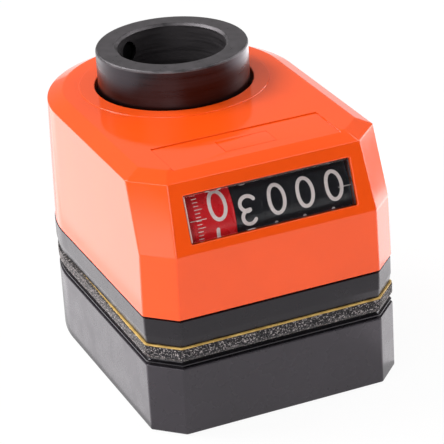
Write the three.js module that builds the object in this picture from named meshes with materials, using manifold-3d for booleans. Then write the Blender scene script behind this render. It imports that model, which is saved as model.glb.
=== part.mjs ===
// Mechanical position indicator for a spindle: a hollow steel hub turns in a plastic housing and
// drives a counter of five digit drums behind a sloped window.
// Millimetres. +Z points up along the hub axis, the window faces -Y, and the origin lies on the
// underside, in the middle of the footprint. Inside this file, pieces are placed from the hub axis.
import * as THREE from 'three';
import { mergeVertices } from 'three/addons/utils/BufferGeometryUtils.js';
import Module from 'manifold-3d';

const wasm = await Module();
wasm.setup();

// Facets
const hubFacets = 32;
const drumFacets = 24;
const shaftFacets = 12;
const rearFacets = 18;
const screwFacets = 10;
const hexFacets = 6;

// One overrun for every cut
const overrun = 1;

// Heights of the stacked layers
const baseHeight = 12.95;
const coverThickness = 1.3;
const foamThickness = 2.45;
const filmThickness = 0.3;
const caseHeight = 5.15;
const housingGap = 0.25;
const coverBottom = baseHeight;
const foamBottom = coverBottom + coverThickness;
const filmBottom = foamBottom + foamThickness;
const caseBottom = filmBottom + filmThickness;
const caseTop = caseBottom + caseHeight;
const housingBottom = caseTop + housingGap;

// Outline offsets of the layers
const coverInset = 0.2;
const edgeChamfer = 0.25;
const filmProud = 0.2;
const foamProud = 0.1;
const caseInset = 0.15;
const caseTaper = 0.15;
const caseTaperHeight = 1.7;
const gapInset = 0.65;

// Hub
const boreRadius = 10;
const hubWall = 4;
const hubRadius = boreRadius + hubWall;
const collarStep = 0.8;
const hubCollarRadius = hubRadius + collarStep;
const journalStep = 1;
const hubJournalRadius = hubRadius - journalStep;
const hubRise = 7.35;
const hubLift = 0.2;
const hubBottom = caseBottom + hubLift;
const boreChamfer = 0.45;
const hubChamfer = 0.4;
const hubHoleGap = 0.6;
const hubHoleRadius = hubRadius + hubHoleGap;
const runningGap = 0.15;
const setScrewHoleRadius = 2.1;
const setScrewRadius = 2;
const setScrewDrop = 3.6;
const setScrewBearing = 123;
const setScrewTipSetback = 0.5;
const setScrewLength = 3;
const setScrewSocketRadius = 1.2;
const setScrewSocketDepth = 1.6;

// Lower end of the hub, from the case floor up: seal, ledge, bush, snap ring
const stackGap = 0.2;
const halfStackGap = stackGap / 2;
const bushThickness = 1.45;
const bushPocketGap = 0.15;
const bushSeatGap = 0.05;
const lowerSealHeight = 1.05;
const lowerSealThickness = 1.25;
const lowerLedge = 0.4;
const ledgeClearance = 0.3;
const lowerBushHeight = 3.35;
const ringSeatGap = 0.56;
const ringHeight = 0.7;
const ringGrooveDepth = 0.5;
const ringWidth = 2;
const ringGapAngle = 60;
const grooveClearance = 0.05;
const lowerSealTop = caseBottom + halfStackGap + lowerSealHeight;
const ledgeBottom = lowerSealTop + halfStackGap;
const lowerBushBottom = ledgeBottom + lowerLedge + bushSeatGap;
const lowerBushTop = lowerBushBottom + lowerBushHeight;
const journalTop = lowerBushTop + bushSeatGap;
const ringBottom = journalTop + ringSeatGap;

// Digit drums
const drumRadius = 10.2;
const drumRim = 1.35;
const drumGap = 0.3;
const blackDrums = 4;
const redBand = 9.45;
const leftRecess = 1.5;
const rightRecess = 2.75;
const recessRadius = drumRadius - drumRim;
const shaftGap = 0.1;
const counterShaftRadius = 1.5;
const shaftFlat = 1.1;
const notchWidth = 2.2;
const notchDepth = 0.5;
const redGearWidth = 1.5;
const redGearGap = 0.2;
const sideGap = 0.15;

// Carry from drum to drum: a six tooth pinion inside the rims, twenty inner teeth on the higher drum
const carryTeeth = 20;
const carryPinionTeeth = 6;
const carryAddendumShare = 0.625;
const carryDedendumShare = 0.775;
const carryBacklashShare = 0.3;
const carryPressureAngle = 25;
const pinionRoom = 0.35;
const carryModule = (recessRadius - pinionRoom) / (carryTeeth / 2 + carryAddendumShare);
const carryAddendum = carryAddendumShare * carryModule;
const carryDedendum = carryDedendumShare * carryModule;
const carryBacklash = carryBacklashShare * carryModule;
const carryRadius = (carryModule * carryTeeth) / 2;
const carryPinionRadius = (carryModule * carryPinionTeeth) / 2;
const pinionOffset = carryRadius - carryPinionRadius;
const drumBossRoom = 0.3;
const drumBoss = pinionOffset - carryPinionRadius - carryAddendum - drumBossRoom;
const stubShare = 0.33;
const stubRadius = stubShare * carryPinionRadius;
const plateRim = 0.8;
const plateRadius = pinionOffset + stubRadius + plateRim;
const plateThickness = 0.5;

// Drive from the hub through the idler to the first drum
const hubGearTeeth = 22;
const helicalPinionTeeth = 12;
const idlerPinionTeeth = 12;
const redGearTeeth = 22;
const gearRim = 3.2;
const hubGearRadius = hubRadius + gearRim;
const helicalPinionRadius = 2.8;
const helicalAddendum = 0.38;
const helicalDedendum = 0.52;
const helicalBacklash = 0.16;
const helicalPressureAngle = 20;
const helicalPinionLength = 7;
const hubGearHeight = 5;
const hubGearLayers = 5;
const pinionLayers = 3;
const idlerShaftRadius = 1.25;
const idlerRoom = 0.42;
const idlerCentreDistance = drumRadius + helicalPinionRadius + helicalAddendum + idlerRoom;
const spurAddendumShare = 0.7;
const spurDedendumShare = 0.95;
const spurBacklash = 0.2;
const spurPressureAngle = 20;
const idlerReach = hubGearRadius + helicalPinionRadius;
const idlerHeight = ringBottom + ringHeight + stackGap + hubGearHeight / 2;
const shoulderHeight = idlerHeight + hubGearHeight / 2 + stackGap;
const drumSetback = 10.6;
const drumAxisReach = idlerReach + drumSetback;
const drumAxisHeight = idlerHeight + Math.sqrt(idlerCentreDistance ** 2 - drumSetback ** 2);

// Case screws behind the drive gear set the width of the body
const caseScrewRadius = 1;
const caseScrewHead = 1.9;
const caseScrewHeadHeight = 1.3;
const caseScrewLength = 7;
const caseBossRadius = 2.3;
const caseBossHeight = 4.6;
const bossClearance = 0.3;
const rearScrewRadius = hubGearRadius + helicalAddendum + bossClearance + caseBossRadius;
const rearScrewBearing = 45;
const screwRim = 3.82;

// Footprint, measured from the hub axis
const housingWall = 2.2;
const frontRoom = 0.7;
const bodyHalf = rearScrewRadius + screwRim;
const frontReach = drumAxisReach + drumRadius + frontRoom + housingWall;
const frontChamfer = 4.85;
const hubAxisY = (frontReach - bodyHalf) / 2;
const frontScrewSide = 5;
const frontScrewSetback = 5.2;
const frontScrewX = bodyHalf - frontScrewSide;
const frontScrewReach = frontReach - frontScrewSetback;

// Orange housing
const housingRoof = 1.9;
const roofRoom = 0.45;
const slopeDrop = 0.75;
const slopeSetback = 4.1;
const slopeWall = 1.75;
const sideDraft = 0.5;
const slopeTopChamfer = 5.45;
const bevelHeight = 1.4;
const bevelInset = 2.95;
const roofUnderside = drumAxisHeight + drumRadius + roofRoom;
const housingTop = roofUnderside + housingRoof;
const bevelBottom = housingTop - bevelHeight;
const slopeBottom = drumAxisHeight - slopeDrop;
const slopeHeight = bevelBottom - slopeBottom;
const slopeAngle = Math.atan2(slopeSetback, slopeHeight);
const slopeFront = frontReach - slopeSetback;
const hubTop = housingTop + hubRise;

// Label field, its plaque and the pad round the hub, on the roof
const fieldSide = 8.2;
const fieldHalfWidth = bodyHalf - fieldSide;
const fieldLength = 16.6;
const fieldRear = frontReach - fieldLength;
const fieldDepth = 0.2;
const plaqueStart = 2.6;
const plaqueLength = 4.7;
const plaqueRear = fieldRear + plaqueStart;
const plaqueFront = plaqueRear + plaqueLength;
const plaqueRearHalf = 4.75;
const plaqueFrontHalf = 4.9;
const plaqueDepth = 0.15;
const padStep = 3;
const padRadius = hubHoleRadius + padStep;
const padHeight = 0.15;

// Window, as wide as the row of drums
const windowSide = 8.3;
const windowWidth = 2 * (bodyHalf - windowSide);
const windowSlant = 8.45;
const windowCentreHeight = 5.65;
const windowMargin = 0.23;
const redHidden = 0.15;
const lensRecess = 0.3;
const lensThickness = 1.2;
const lensClearance = 0.15;
const drumPitch = (windowWidth - redBand - windowMargin) / blackDrums;
const redBlackX = redBand - redHidden - windowWidth / 2;

// Upper end of the hub, from the roof down: seal and bush in the housing's boss
const upperBushHeight = 3.2;
const upperSealHeight = 1.6;
const bossWall = 1.5;
const sealTop = roofUnderside - stackGap;
const upperBushTop = sealTop - upperSealHeight - stackGap;
const upperBushBottom = upperBushTop - upperBushHeight;
const bossBottom = upperBushBottom - halfStackGap;
const bushOuter = hubRadius + runningGap + bushThickness;
const bossInner = bushOuter + bushPocketGap;
const bossOuter = bossInner + bossWall;

// Lower case
const caseFloor = 2.2;
const caseLip = 1.4;
const lipRise = 1.6;
const lipClearance = 0.2;
const floorTop = caseBottom + caseFloor;
const postDrop = 0.1;
const postTop = caseTop - postDrop;
const lowerBushOuter = hubJournalRadius + runningGap + bushThickness;
const lowerSealOuter = hubJournalRadius + runningGap + lowerSealThickness;
const caseBossOuter = lowerBushOuter + bushPocketGap + bossWall;

// Counter frame
const frameSheet = 1.4;
const cheekClearance = 0.3;
const rightCheekGap = 0.6;
const soleFront = 5.3;
const soleRear = 4.7;
const frameFrontReach = drumAxisReach + soleFront;
const frameRearReach = drumAxisReach - soleRear;
const cheekRear = 2.4;
const cheekRearReach = idlerReach - cheekRear;
const cheekCrown = 5.4;
const idlerBearing = 2.2;
const bracketGap = 2.5;
const bracketX = helicalPinionLength / 2 + bracketGap;
const clipRadius = 3;
const clipThickness = 0.6;
const clipGap = 0.1;
const shaftOverhang = 0.6;

// Torque pin and its sockets
const pinRadius = 3;
const pinReach = 30;
const pinClearance = 0.15;
const pinBottom = 8;
const pinTop = 21.4;
const pinBossWall = 1.05;
const socketDepth = 6;
const socketWall = 2;

// Other screws
const baseScrewRadius = 1.25;
const baseScrewHead = 2.3;
const baseScrewHeadHeight = 1.3;
const baseScrewSink = 0.4;
const baseScrewTop = 20.9;
const basePostRadius = 2.3;
const baseScrewCollar = 0.5;
const baseSideInset = 4.8;
const baseSideX = bodyHalf - baseSideInset;
const baseSideReach = 12;
const baseRearX = 6.5;
const baseRearInset = 5;
const baseRearY = bodyHalf - baseRearInset;
const frameScrewRadius = 0.9;
const frameScrewHead = 1.8;
const frameScrewHeadHeight = 1.1;
const frameScrewX = 10.5;
const frameScrewReach = drumAxisReach;
const frameScrewDepth = 1.6;
const screwClearance = 0.15;
const shankRootShare = 0.25;
const socketRadiusShare = 0.55;
const socketDepthShare = 0.6;

// Base block
const baseWall = 2.5;
const baseFloor = 2.2;
const spindleRoom = 0.9;
const baseBoreRadius = boreRadius + spindleRoom;
const baseTubeWall = 2;
const coverBoreGap = 2;
const layerBoreRadius = boreRadius + coverBoreGap;
const filmBoreGap = 0.6;
const filmBoreRadius = hubJournalRadius + filmBoreGap;
const foamBoreGap = 2;
const foamBoreRadius = hubJournalRadius + foamBoreGap;

const degree = Math.PI / 180;

// Materials
function finish(color, roughness, metalness) {
  return new THREE.MeshStandardMaterial({ color, roughness, metalness, flatShading: true });
}
const orangePlastic = finish(0xf2581e, 0.22, 0);
const blackPlastic = finish(0x37353a, 0.42, 0);
const blackenedSteel = finish(0x2e2b2e, 0.36, 0.85);
const brightSteel = finish(0xa9abae, 0.3, 0.95);
const brass = finish(0xb8964f, 0.35, 0.9);
const clearPlastic = new THREE.MeshStandardMaterial({
  color: 0xf4f8fa, roughness: 0.05, metalness: 0, transparent: true, opacity: 0.25, flatShading: true,
});
const redPlastic = finish(0xb0161c, 0.45, 0);
const drumPlastic = finish(0x1d1d20, 0.5, 0);
const gearPlastic = finish(0xd9d4c4, 0.5, 0);
const foam = finish(0x77757a, 0.95, 0);
const adhesiveFilm = finish(0xc8a35c, 0.55, 0);
const rubber = finish(0x1a1a1b, 0.75, 0);
const bearingPlastic = finish(0xe6e2d6, 0.4, 0);

// Solids from three.js geometry, and back
function solidOf(geometry) {
  geometry.deleteAttribute('normal');
  geometry.deleteAttribute('uv');
  const merged = mergeVertices(geometry);
  return new wasm.Manifold(new wasm.Mesh({
    numProp: 3,
    vertProperties: new Float32Array(merged.attributes.position.array),
    triVerts: new Uint32Array(merged.index.array),
  }));
}

function geometryOf(solid) {
  const mesh = solid.getMesh();
  const geometry = new THREE.BufferGeometry();
  const positions = new Float32Array(mesh.vertProperties);
  geometry.setAttribute('position', new THREE.BufferAttribute(positions, mesh.numProp));
  geometry.setIndex(new THREE.BufferAttribute(new Uint32Array(mesh.triVerts), 1));
  geometry.computeVertexNormals();
  return geometry;
}

function join(first, ...others) {
  return others.reduce((sum, next) => sum.add(next), first);
}

function cut(first, ...others) {
  return others.reduce((rest, next) => rest.subtract(next), first);
}

// A stack of closed rings with equal point counts, each ring counter-clockwise seen from above
function loft(rings) {
  const count = rings[0].length;
  const positions = rings.flat().flatMap((point) => [point.x, point.y, point.z]);
  const index = [];
  for (let level = 0; level + 1 < rings.length; level += 1) {
    for (let i = 0; i < count; i += 1) {
      const low = level * count + i;
      const lowNext = level * count + (i + 1) % count;
      index.push(low, lowNext, lowNext + count);
      index.push(low, lowNext + count, low + count);
    }
  }
  const addCap = (ring, start, upward) => {
    const contour = ring.map((point) => new THREE.Vector2(point.x, point.y));
    for (const [a, b, c] of THREE.ShapeUtils.triangulateShape(contour, [])) {
      const area = THREE.ShapeUtils.area([contour[a], contour[b], contour[c]]);
      const order = (area > 0) === upward ? [a, b, c] : [a, c, b];
      index.push(...order.map((corner) => start + corner));
    }
  };
  addCap(rings[0], 0, false);
  addCap(rings.at(-1), (rings.length - 1) * count, true);
  const geometry = new THREE.BufferGeometry();
  geometry.setAttribute('position', new THREE.Float32BufferAttribute(positions, 3));
  geometry.setIndex(index);
  return solidOf(geometry);
}

// Outline shared by every layer: chamfered front corners, straight sides, half-round rear
function bodyRing(z, inset = 0, front = frontReach, halfWidth = bodyHalf, chamfer = frontChamfer) {
  const half = halfWidth - inset;
  const frontY = inset - front;
  const leg = chamfer - inset * (2 - Math.SQRT2);
  const ring = [
    new THREE.Vector3(leg - half, frontY, z),
    new THREE.Vector3(half - leg, frontY, z),
    new THREE.Vector3(half, frontY + leg, z),
  ];
  for (let i = 0; i <= rearFacets; i += 1) {
    const angle = (i / rearFacets) * Math.PI;
    ring.push(new THREE.Vector3(half * Math.cos(angle), half * Math.sin(angle), z));
  }
  ring.push(new THREE.Vector3(-half, frontY + leg, z));
  return ring;
}

function bodyLayer(bottom, top, inset = 0) {
  return loft([bodyRing(bottom, inset), bodyRing(top, inset)]);
}

// A turned solid about Z from a closed profile of [radius, height] pairs
function turned(profile, facets = hubFacets) {
  const points = [...profile, profile[0]].map(([radius, height]) => new THREE.Vector2(radius, height));
  return solidOf(new THREE.LatheGeometry(points, facets).rotateX(Math.PI / 2));
}

function tube(inner, outer, bottom, top, facets = hubFacets) {
  return turned([[inner, bottom], [outer, bottom], [outer, top], [inner, top]], facets);
}

function disc(radius, bottom, top, facets = shaftFacets) {
  const geometry = new THREE.CylinderGeometry(radius, radius, top - bottom, facets);
  return solidOf(geometry.rotateX(Math.PI / 2).translate(0, 0, (top + bottom) / 2));
}

function block(width, depth, height, x = 0, y = 0, z = 0) {
  return solidOf(new THREE.BoxGeometry(width, depth, height).translate(x, y, z));
}

function prism(points, bottom, top) {
  const shape = new THREE.Shape(points.map(([x, y]) => new THREE.Vector2(x, y)));
  const geometry = new THREE.ExtrudeGeometry(shape, { depth: top - bottom, bevelEnabled: false });
  return solidOf(geometry.translate(0, 0, bottom));
}

// Turns a piece built about Z so that its axis lies along X: its own X becomes Y, and its Y becomes Z
const sideways = new THREE.Matrix4().makeBasis(
  new THREE.Vector3(0, 1, 0), new THREE.Vector3(0, 0, 1), new THREE.Vector3(1, 0, 0),
);

function laidAlongX(solid) {
  return solid.transform(sideways.elements);
}

function sidePlate(points, fromX, toX) {
  return laidAlongX(prism(points, fromX, toX));
}

function crossBore(radius, fromX, toX, reach, height) {
  return laidAlongX(disc(radius, fromX, toX)).translate([0, -reach, height]);
}

// Involute gears
function involute(angle) {
  return Math.tan(angle) - angle;
}

function gearRing(gear, z = 0, turn = 0) {
  const { teeth, radius, addendum, dedendum, backlash, flankSteps } = gear;
  const pressure = Math.atan(Math.tan(gear.pressureAngle * degree) / Math.cos(gear.helix ?? 0));
  const baseRadius = radius * Math.cos(pressure);
  const halfPitch = Math.PI / (2 * teeth) - backlash / (2 * radius);
  const involuteAt = (at) => involute(Math.acos(Math.min(1, baseRadius / at)));
  const halfAngle = (at) => halfPitch + involute(pressure) - involuteAt(at);
  const radii = [];
  for (let step = 0; step <= flankSteps; step += 1) {
    radii.push(radius - dedendum + (addendum + dedendum) * (step / flankSteps));
  }
  const ring = [];
  for (let tooth = 0; tooth < teeth; tooth += 1) {
    const centre = (tooth / teeth) * 2 * Math.PI + turn;
    const addPoint = (at, side) => {
      const angle = centre + side * halfAngle(at);
      ring.push(new THREE.Vector3(at * Math.cos(angle), at * Math.sin(angle), z));
    };
    radii.forEach((at) => addPoint(at, -1));
    radii.toReversed().forEach((at) => addPoint(at, 1));
  }
  return ring;
}

function spurGear(gear, bottom, top, turn = 0) {
  return loft([gearRing(gear, bottom, turn), gearRing(gear, top, turn)]);
}

function helicalGear(gear, length, layers, turn = 0) {
  const rings = [];
  for (let layer = 0; layer <= layers; layer += 1) {
    const z = (layer / layers - 0.5) * length;
    rings.push(gearRing(gear, z, turn + z * Math.tan(gear.helix) / gear.radius));
  }
  return loft(rings);
}

const hubHelix = Math.atan((hubGearRadius / helicalPinionRadius) / (hubGearTeeth / helicalPinionTeeth));
const helicalFlank = {
  addendum: helicalAddendum, dedendum: helicalDedendum, pressureAngle: helicalPressureAngle, flankSteps: 1,
};
const hubGear = {
  ...helicalFlank, teeth: hubGearTeeth, radius: hubGearRadius, helix: hubHelix,
  backlash: helicalBacklash / Math.cos(hubHelix),
};
const helicalPinion = {
  ...helicalFlank, teeth: helicalPinionTeeth, radius: helicalPinionRadius, helix: Math.PI / 2 - hubHelix,
  backlash: helicalBacklash / Math.sin(hubHelix),
};

function spurPair(teeth, partnerTeeth, distance, addendumShare, dedendumShare, backlash, pressureAngle) {
  const module = (2 * distance) / (teeth + partnerTeeth);
  return {
    teeth, radius: (module * teeth) / 2, addendum: addendumShare * module, dedendum: dedendumShare * module,
    backlash, pressureAngle, flankSteps: 1,
  };
}
const idlerSpur = spurPair(idlerPinionTeeth, redGearTeeth, idlerCentreDistance,
  spurAddendumShare, spurDedendumShare, spurBacklash, spurPressureAngle);
const redSpur = spurPair(redGearTeeth, idlerPinionTeeth, idlerCentreDistance,
  spurAddendumShare, spurDedendumShare, spurBacklash, spurPressureAngle);

// The carry gear lies inside the drum: its outline is that of the space cut away
const carrySpace = {
  teeth: carryTeeth, radius: carryRadius, addendum: carryDedendum, dedendum: carryAddendum,
  backlash: -carryBacklash, pressureAngle: carryPressureAngle, flankSteps: 1,
};
const carryPinion = {
  teeth: carryPinionTeeth, radius: carryPinionRadius, addendum: carryAddendum,
  dedendum: carryDedendum, backlash: carryBacklash, pressureAngle: carryPressureAngle, flankSteps: 2,
};

// Screw places, each [x, y] from the hub axis
const rearScrewX = rearScrewRadius * Math.cos(rearScrewBearing * degree);
const rearScrewY = rearScrewRadius * Math.sin(rearScrewBearing * degree);
const caseScrewPlaces = [
  [-frontScrewX, -frontScrewReach], [frontScrewX, -frontScrewReach],
  [-rearScrewX, rearScrewY], [rearScrewX, rearScrewY],
];
const baseScrewPlaces = [
  [-baseSideX, -baseSideReach], [baseSideX, -baseSideReach],
  [-baseRearX, baseRearY], [baseRearX, baseRearY],
];
const frameScrewPlaces = [[-frameScrewX, -frameScrewReach], [frameScrewX, -frameScrewReach]];

function standAt(places, makeSolid) {
  return places.map(([x, y]) => makeSolid().translate([x, y, 0]));
}

// A screw about Z with a hexagon socket in its head; headDown turns the head to the bottom
function screw(shankRadius, headRadius, headHeight, length, headDown) {
  const shank = disc(shankRadius, -length, headHeight * shankRootShare, screwFacets);
  const head = disc(headRadius, 0, headHeight, screwFacets);
  const socketBottom = headHeight * (1 - socketDepthShare);
  const socket = disc(headRadius * socketRadiusShare, socketBottom, headHeight + overrun, hexFacets);
  const whole = cut(join(shank, head), socket);
  return headDown ? whole.rotate([180, 0, 0]) : whole;
}

// The sloped wall, seen as a plane: how far in front of the hub axis it stands at a height
function slopeReach(z) {
  return frontReach - (z - slopeBottom) * (slopeSetback / slopeHeight);
}

function upperHousing() {
  const draftAt = (z) => sideDraft * (z - housingBottom) / (bevelBottom - housingBottom);
  const topHalf = bodyHalf - sideDraft;
  const outer = loft([
    bodyRing(housingBottom),
    bodyRing(slopeBottom, 0, frontReach, bodyHalf - draftAt(slopeBottom)),
    bodyRing(bevelBottom, 0, slopeFront, topHalf, slopeTopChamfer),
    bodyRing(housingTop, bevelInset, slopeFront, topHalf, slopeTopChamfer),
  ]);
  const innerSlope = (z) => slopeReach(z) - slopeWall / Math.cos(slopeAngle);
  const innerFront = frontReach - housingWall;
  const innerBend = slopeBottom + (innerSlope(slopeBottom) - innerFront) * (slopeHeight / slopeSetback);
  const innerChamfer = frontChamfer - housingWall * (2 - Math.SQRT2);
  const innerRing = (z, front) => bodyRing(z, 0, front, bodyHalf - draftAt(z) - housingWall, innerChamfer);
  const inner = loft([
    innerRing(housingBottom - overrun, innerFront),
    innerRing(innerBend, innerFront),
    innerRing(roofUnderside, innerSlope(roofUnderside)),
  ]);
  const hubBoss = turned([
    [bossInner, bossBottom], [bossOuter, bossBottom], [bossOuter, roofUnderside + overrun],
    [hubHoleRadius, roofUnderside + overrun], [hubHoleRadius, roofUnderside], [bossInner, roofUnderside],
  ]);
  const screwBosses = standAt(caseScrewPlaces, () => disc(
    caseBossRadius, housingBottom, housingBottom + caseBossHeight, screwFacets,
  )).map((boss) => boss.intersect(outer));
  const holeTop = housingBottom + caseBossHeight - overrun;
  const screwHoles = standAt(caseScrewPlaces, () => disc(
    caseScrewRadius + screwClearance, housingBottom - overrun, holeTop, screwFacets,
  ));
  const pad = tube(hubHoleRadius, padRadius, housingTop - overrun, housingTop + padHeight);
  const field = block(2 * fieldHalfWidth, frontReach - fieldRear, fieldDepth + overrun,
    0, -(frontReach + fieldRear) / 2, housingTop - fieldDepth + (fieldDepth + overrun) / 2);
  const plaqueBottom = housingTop - fieldDepth - plaqueDepth;
  const plaque = prism([
    [-plaqueFrontHalf, -plaqueFront], [plaqueFrontHalf, -plaqueFront],
    [plaqueRearHalf, -plaqueRear], [-plaqueRearHalf, -plaqueRear],
  ], plaqueBottom, housingTop + overrun);
  const hubHole = disc(hubHoleRadius, roofUnderside - overrun, housingTop + overrun, hubFacets);
  const opening = onSlope(block(windowWidth, 2 * housingWall + overrun, windowSlant));
  const shell = cut(outer, inner, hubHole);
  const fitted = cut(join(shell, hubBoss, ...screwBosses, pad), field, plaque, opening);
  return cut(fitted, ...screwHoles);
}

// Carries a solid built round the origin to the middle of the window, square to the sloped wall
function onSlope(solid, depth = 0) {
  const z = slopeBottom + windowCentreHeight;
  return solid
    .translate([0, depth, 0])
    .rotate([-slopeAngle / degree, 0, 0])
    .translate([0, -slopeReach(z), z]);
}

function windowLens() {
  const width = windowWidth - 2 * lensClearance;
  const slant = windowSlant - 2 * lensClearance;
  return onSlope(block(width, lensThickness, slant), lensRecess + lensThickness / 2);
}

function hubSleeve() {
  const grooveFloor = hubRadius - ringGrooveDepth;
  const sleeve = turned([
    [boreRadius, hubBottom],
    [hubJournalRadius, hubBottom],
    [hubJournalRadius, journalTop],
    [hubRadius, journalTop],
    [hubRadius, ringBottom - grooveClearance],
    [grooveFloor, ringBottom - grooveClearance],
    [grooveFloor, ringBottom + ringHeight + grooveClearance],
    [hubRadius, ringBottom + ringHeight + grooveClearance],
    [hubRadius, shoulderHeight],
    [hubCollarRadius, shoulderHeight],
    [hubCollarRadius, upperBushBottom - stackGap],
    [hubRadius, upperBushBottom - stackGap],
    [hubRadius, hubTop - hubChamfer],
    [hubRadius - hubChamfer, hubTop],
    [boreRadius + boreChamfer, hubTop],
    [boreRadius, hubTop - boreChamfer],
  ]);
  const hole = disc(setScrewHoleRadius, boreRadius - overrun, hubRadius + overrun);
  return cut(sleeve, atSetScrew(hole));
}

// Carries a solid built along Z to the set screw's radial line
function atSetScrew(solid) {
  return solid.rotate([0, 90, 0]).rotate([0, 0, setScrewBearing]).translate([0, 0, hubTop - setScrewDrop]);
}

function hubSetScrew() {
  const tip = boreRadius + setScrewTipSetback;
  const end = tip + setScrewLength;
  const body = disc(setScrewRadius, tip, end);
  const socket = disc(setScrewSocketRadius, end - setScrewSocketDepth, end + overrun, hexFacets);
  return atSetScrew(cut(body, socket));
}

function driveGear() {
  const toothed = helicalGear(hubGear, hubGearHeight, hubGearLayers, -Math.PI / 2);
  const bore = disc(hubRadius + shaftGap, -hubGearHeight, hubGearHeight, hubFacets);
  return cut(toothed, bore).translate([0, 0, idlerHeight]);
}

function retainingRing() {
  const inner = hubRadius - ringGrooveDepth + grooveClearance;
  const ring = tube(inner, inner + ringWidth, ringBottom, ringBottom + ringHeight);
  const halfGap = (ringGapAngle / 2) * degree;
  const far = 2 * (inner + ringWidth);
  const farX = far * Math.cos(halfGap);
  const farY = far * Math.sin(halfGap);
  const wedgeTop = ringBottom + ringHeight + overrun;
  return cut(ring, prism([[0, 0], [farX, -farY], [farX, farY]], ringBottom - overrun, wedgeTop));
}

function lowerCase() {
  const wallInset = housingWall + lipClearance;
  const skirt = loft([
    bodyRing(caseBottom, caseInset + caseTaper),
    bodyRing(caseBottom + caseTaperHeight, caseInset),
    bodyRing(caseTop, caseInset),
  ]);
  const neck = bodyLayer(caseTop - overrun, housingBottom, gapInset);
  const lip = bodyLayer(housingBottom - overrun, housingBottom + lipRise, wallInset);
  const cavity = bodyLayer(floorTop, housingBottom + lipRise + overrun, wallInset + caseLip);
  const shell = cut(join(skirt, neck, lip), cavity);
  const lipRelief = standAt(caseScrewPlaces, () => disc(
    caseBossRadius + lipClearance, housingBottom, housingBottom + lipRise + overrun, screwFacets,
  ));
  const hubBoss = tube(hubJournalRadius, caseBossOuter, floorTop - overrun, postTop);
  const basePosts = standAt(baseScrewPlaces, () => disc(
    basePostRadius, floorTop - overrun, postTop, screwFacets,
  ));
  const pinBoss = disc(pinRadius + pinBossWall, floorTop - overrun, postTop).translate([0, -pinReach, 0]);
  const headPocketTop = caseBottom + caseScrewHeadHeight;
  const frameHoleBottom = floorTop - frameScrewDepth - screwClearance;
  const bores = [
    disc(lowerSealOuter + shaftGap, caseBottom - overrun, ledgeBottom, hubFacets),
    disc(hubJournalRadius + ledgeClearance, caseBottom - overrun, postTop + overrun, hubFacets),
    disc(lowerBushOuter + bushPocketGap, ledgeBottom + lowerLedge, postTop + overrun, hubFacets),
    disc(pinRadius + pinClearance, caseBottom - overrun, pinTop + pinClearance).translate([0, -pinReach, 0]),
    ...standAt(caseScrewPlaces, () => join(
      disc(caseScrewHead + screwClearance, caseBottom - overrun, headPocketTop, screwFacets),
      disc(caseScrewRadius + screwClearance, caseBottom - overrun, housingBottom + overrun, screwFacets),
    )),
    ...standAt(baseScrewPlaces, () => disc(
      baseScrewRadius + screwClearance, caseBottom - overrun, baseScrewTop + screwClearance, screwFacets,
    )),
    ...standAt(frameScrewPlaces, () => disc(
      frameScrewRadius + screwClearance, frameHoleBottom, floorTop + overrun, screwFacets,
    )),
  ];
  return cut(join(cut(shell, ...lipRelief), hubBoss, ...basePosts, pinBoss), ...bores);
}

// A flat layer of the stack with the holes that pass through it
function piercedLayer(solid, bottom, top, hubHoleSize) {
  return cut(
    solid,
    disc(hubHoleSize, bottom - overrun, top + overrun, hubFacets),
    disc(pinRadius + pinClearance, bottom - overrun, top + overrun).translate([0, -pinReach, 0]),
    ...standAt(baseScrewPlaces, () => disc(
      baseScrewRadius + screwClearance, bottom - overrun, top + overrun, screwFacets,
    )),
  );
}

function gasketFilm() {
  const sheet = bodyLayer(filmBottom, caseBottom, -filmProud);
  return piercedLayer(sheet, filmBottom, caseBottom, filmBoreRadius);
}

function foamGasket() {
  return piercedLayer(bodyLayer(foamBottom, filmBottom, -foamProud), foamBottom, filmBottom, foamBoreRadius);
}

function baseCover() {
  const plate = loft([
    bodyRing(coverBottom, coverInset + edgeChamfer),
    bodyRing(coverBottom + edgeChamfer, coverInset),
    bodyRing(foamBottom - edgeChamfer, coverInset),
    bodyRing(foamBottom, coverInset + edgeChamfer),
  ]);
  return piercedLayer(plate, coverBottom, foamBottom, layerBoreRadius);
}

function baseBody() {
  const outer = loft([
    bodyRing(0),
    bodyRing(baseHeight - edgeChamfer),
    bodyRing(baseHeight, edgeChamfer),
  ]);
  const cavity = bodyLayer(baseFloor, baseHeight + overrun, baseWall);
  const hubTube = disc(baseBoreRadius + baseTubeWall, 0, baseHeight, hubFacets);
  const pinTube = disc(pinRadius + pinClearance + socketWall, 0, baseHeight).translate([0, -pinReach, 0]);
  const posts = standAt(baseScrewPlaces, () => disc(
    baseScrewHead + screwClearance + baseScrewCollar, 0, baseHeight, screwFacets,
  )).map((post) => post.intersect(outer));
  const bores = [
    disc(baseBoreRadius, -overrun, baseHeight + overrun, hubFacets),
    disc(pinRadius + pinClearance, -overrun, socketDepth).translate([0, -pinReach, 0]),
    disc(pinRadius + pinClearance, pinBottom, baseHeight + overrun).translate([0, -pinReach, 0]),
    ...standAt(baseScrewPlaces, () => join(
      disc(baseScrewRadius + screwClearance, -overrun, baseHeight + overrun, screwFacets),
      disc(baseScrewHead + screwClearance, -overrun, baseScrewSink + baseScrewHeadHeight, screwFacets),
    )),
  ];
  return cut(join(cut(outer, cavity), hubTube, pinTube, ...posts), ...bores);
}

// Drums stand side by side along X, the red one at the left end; each is built from its band's left face
const blackBand = drumPitch - drumGap;

function drumLeft(number) {
  if (number === 1) {
    return redBlackX - drumGap / 2 - redBand;
  }
  return redBlackX + drumGap / 2 + (number - 2) * drumPitch;
}

const drumBandRight = drumLeft(5) + blackBand;
const meshAngle = Math.atan2(drumAxisHeight - idlerHeight, idlerReach - drumAxisReach);
const redGearLeft = drumLeft(1) - redGearGap - redGearWidth;

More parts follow.
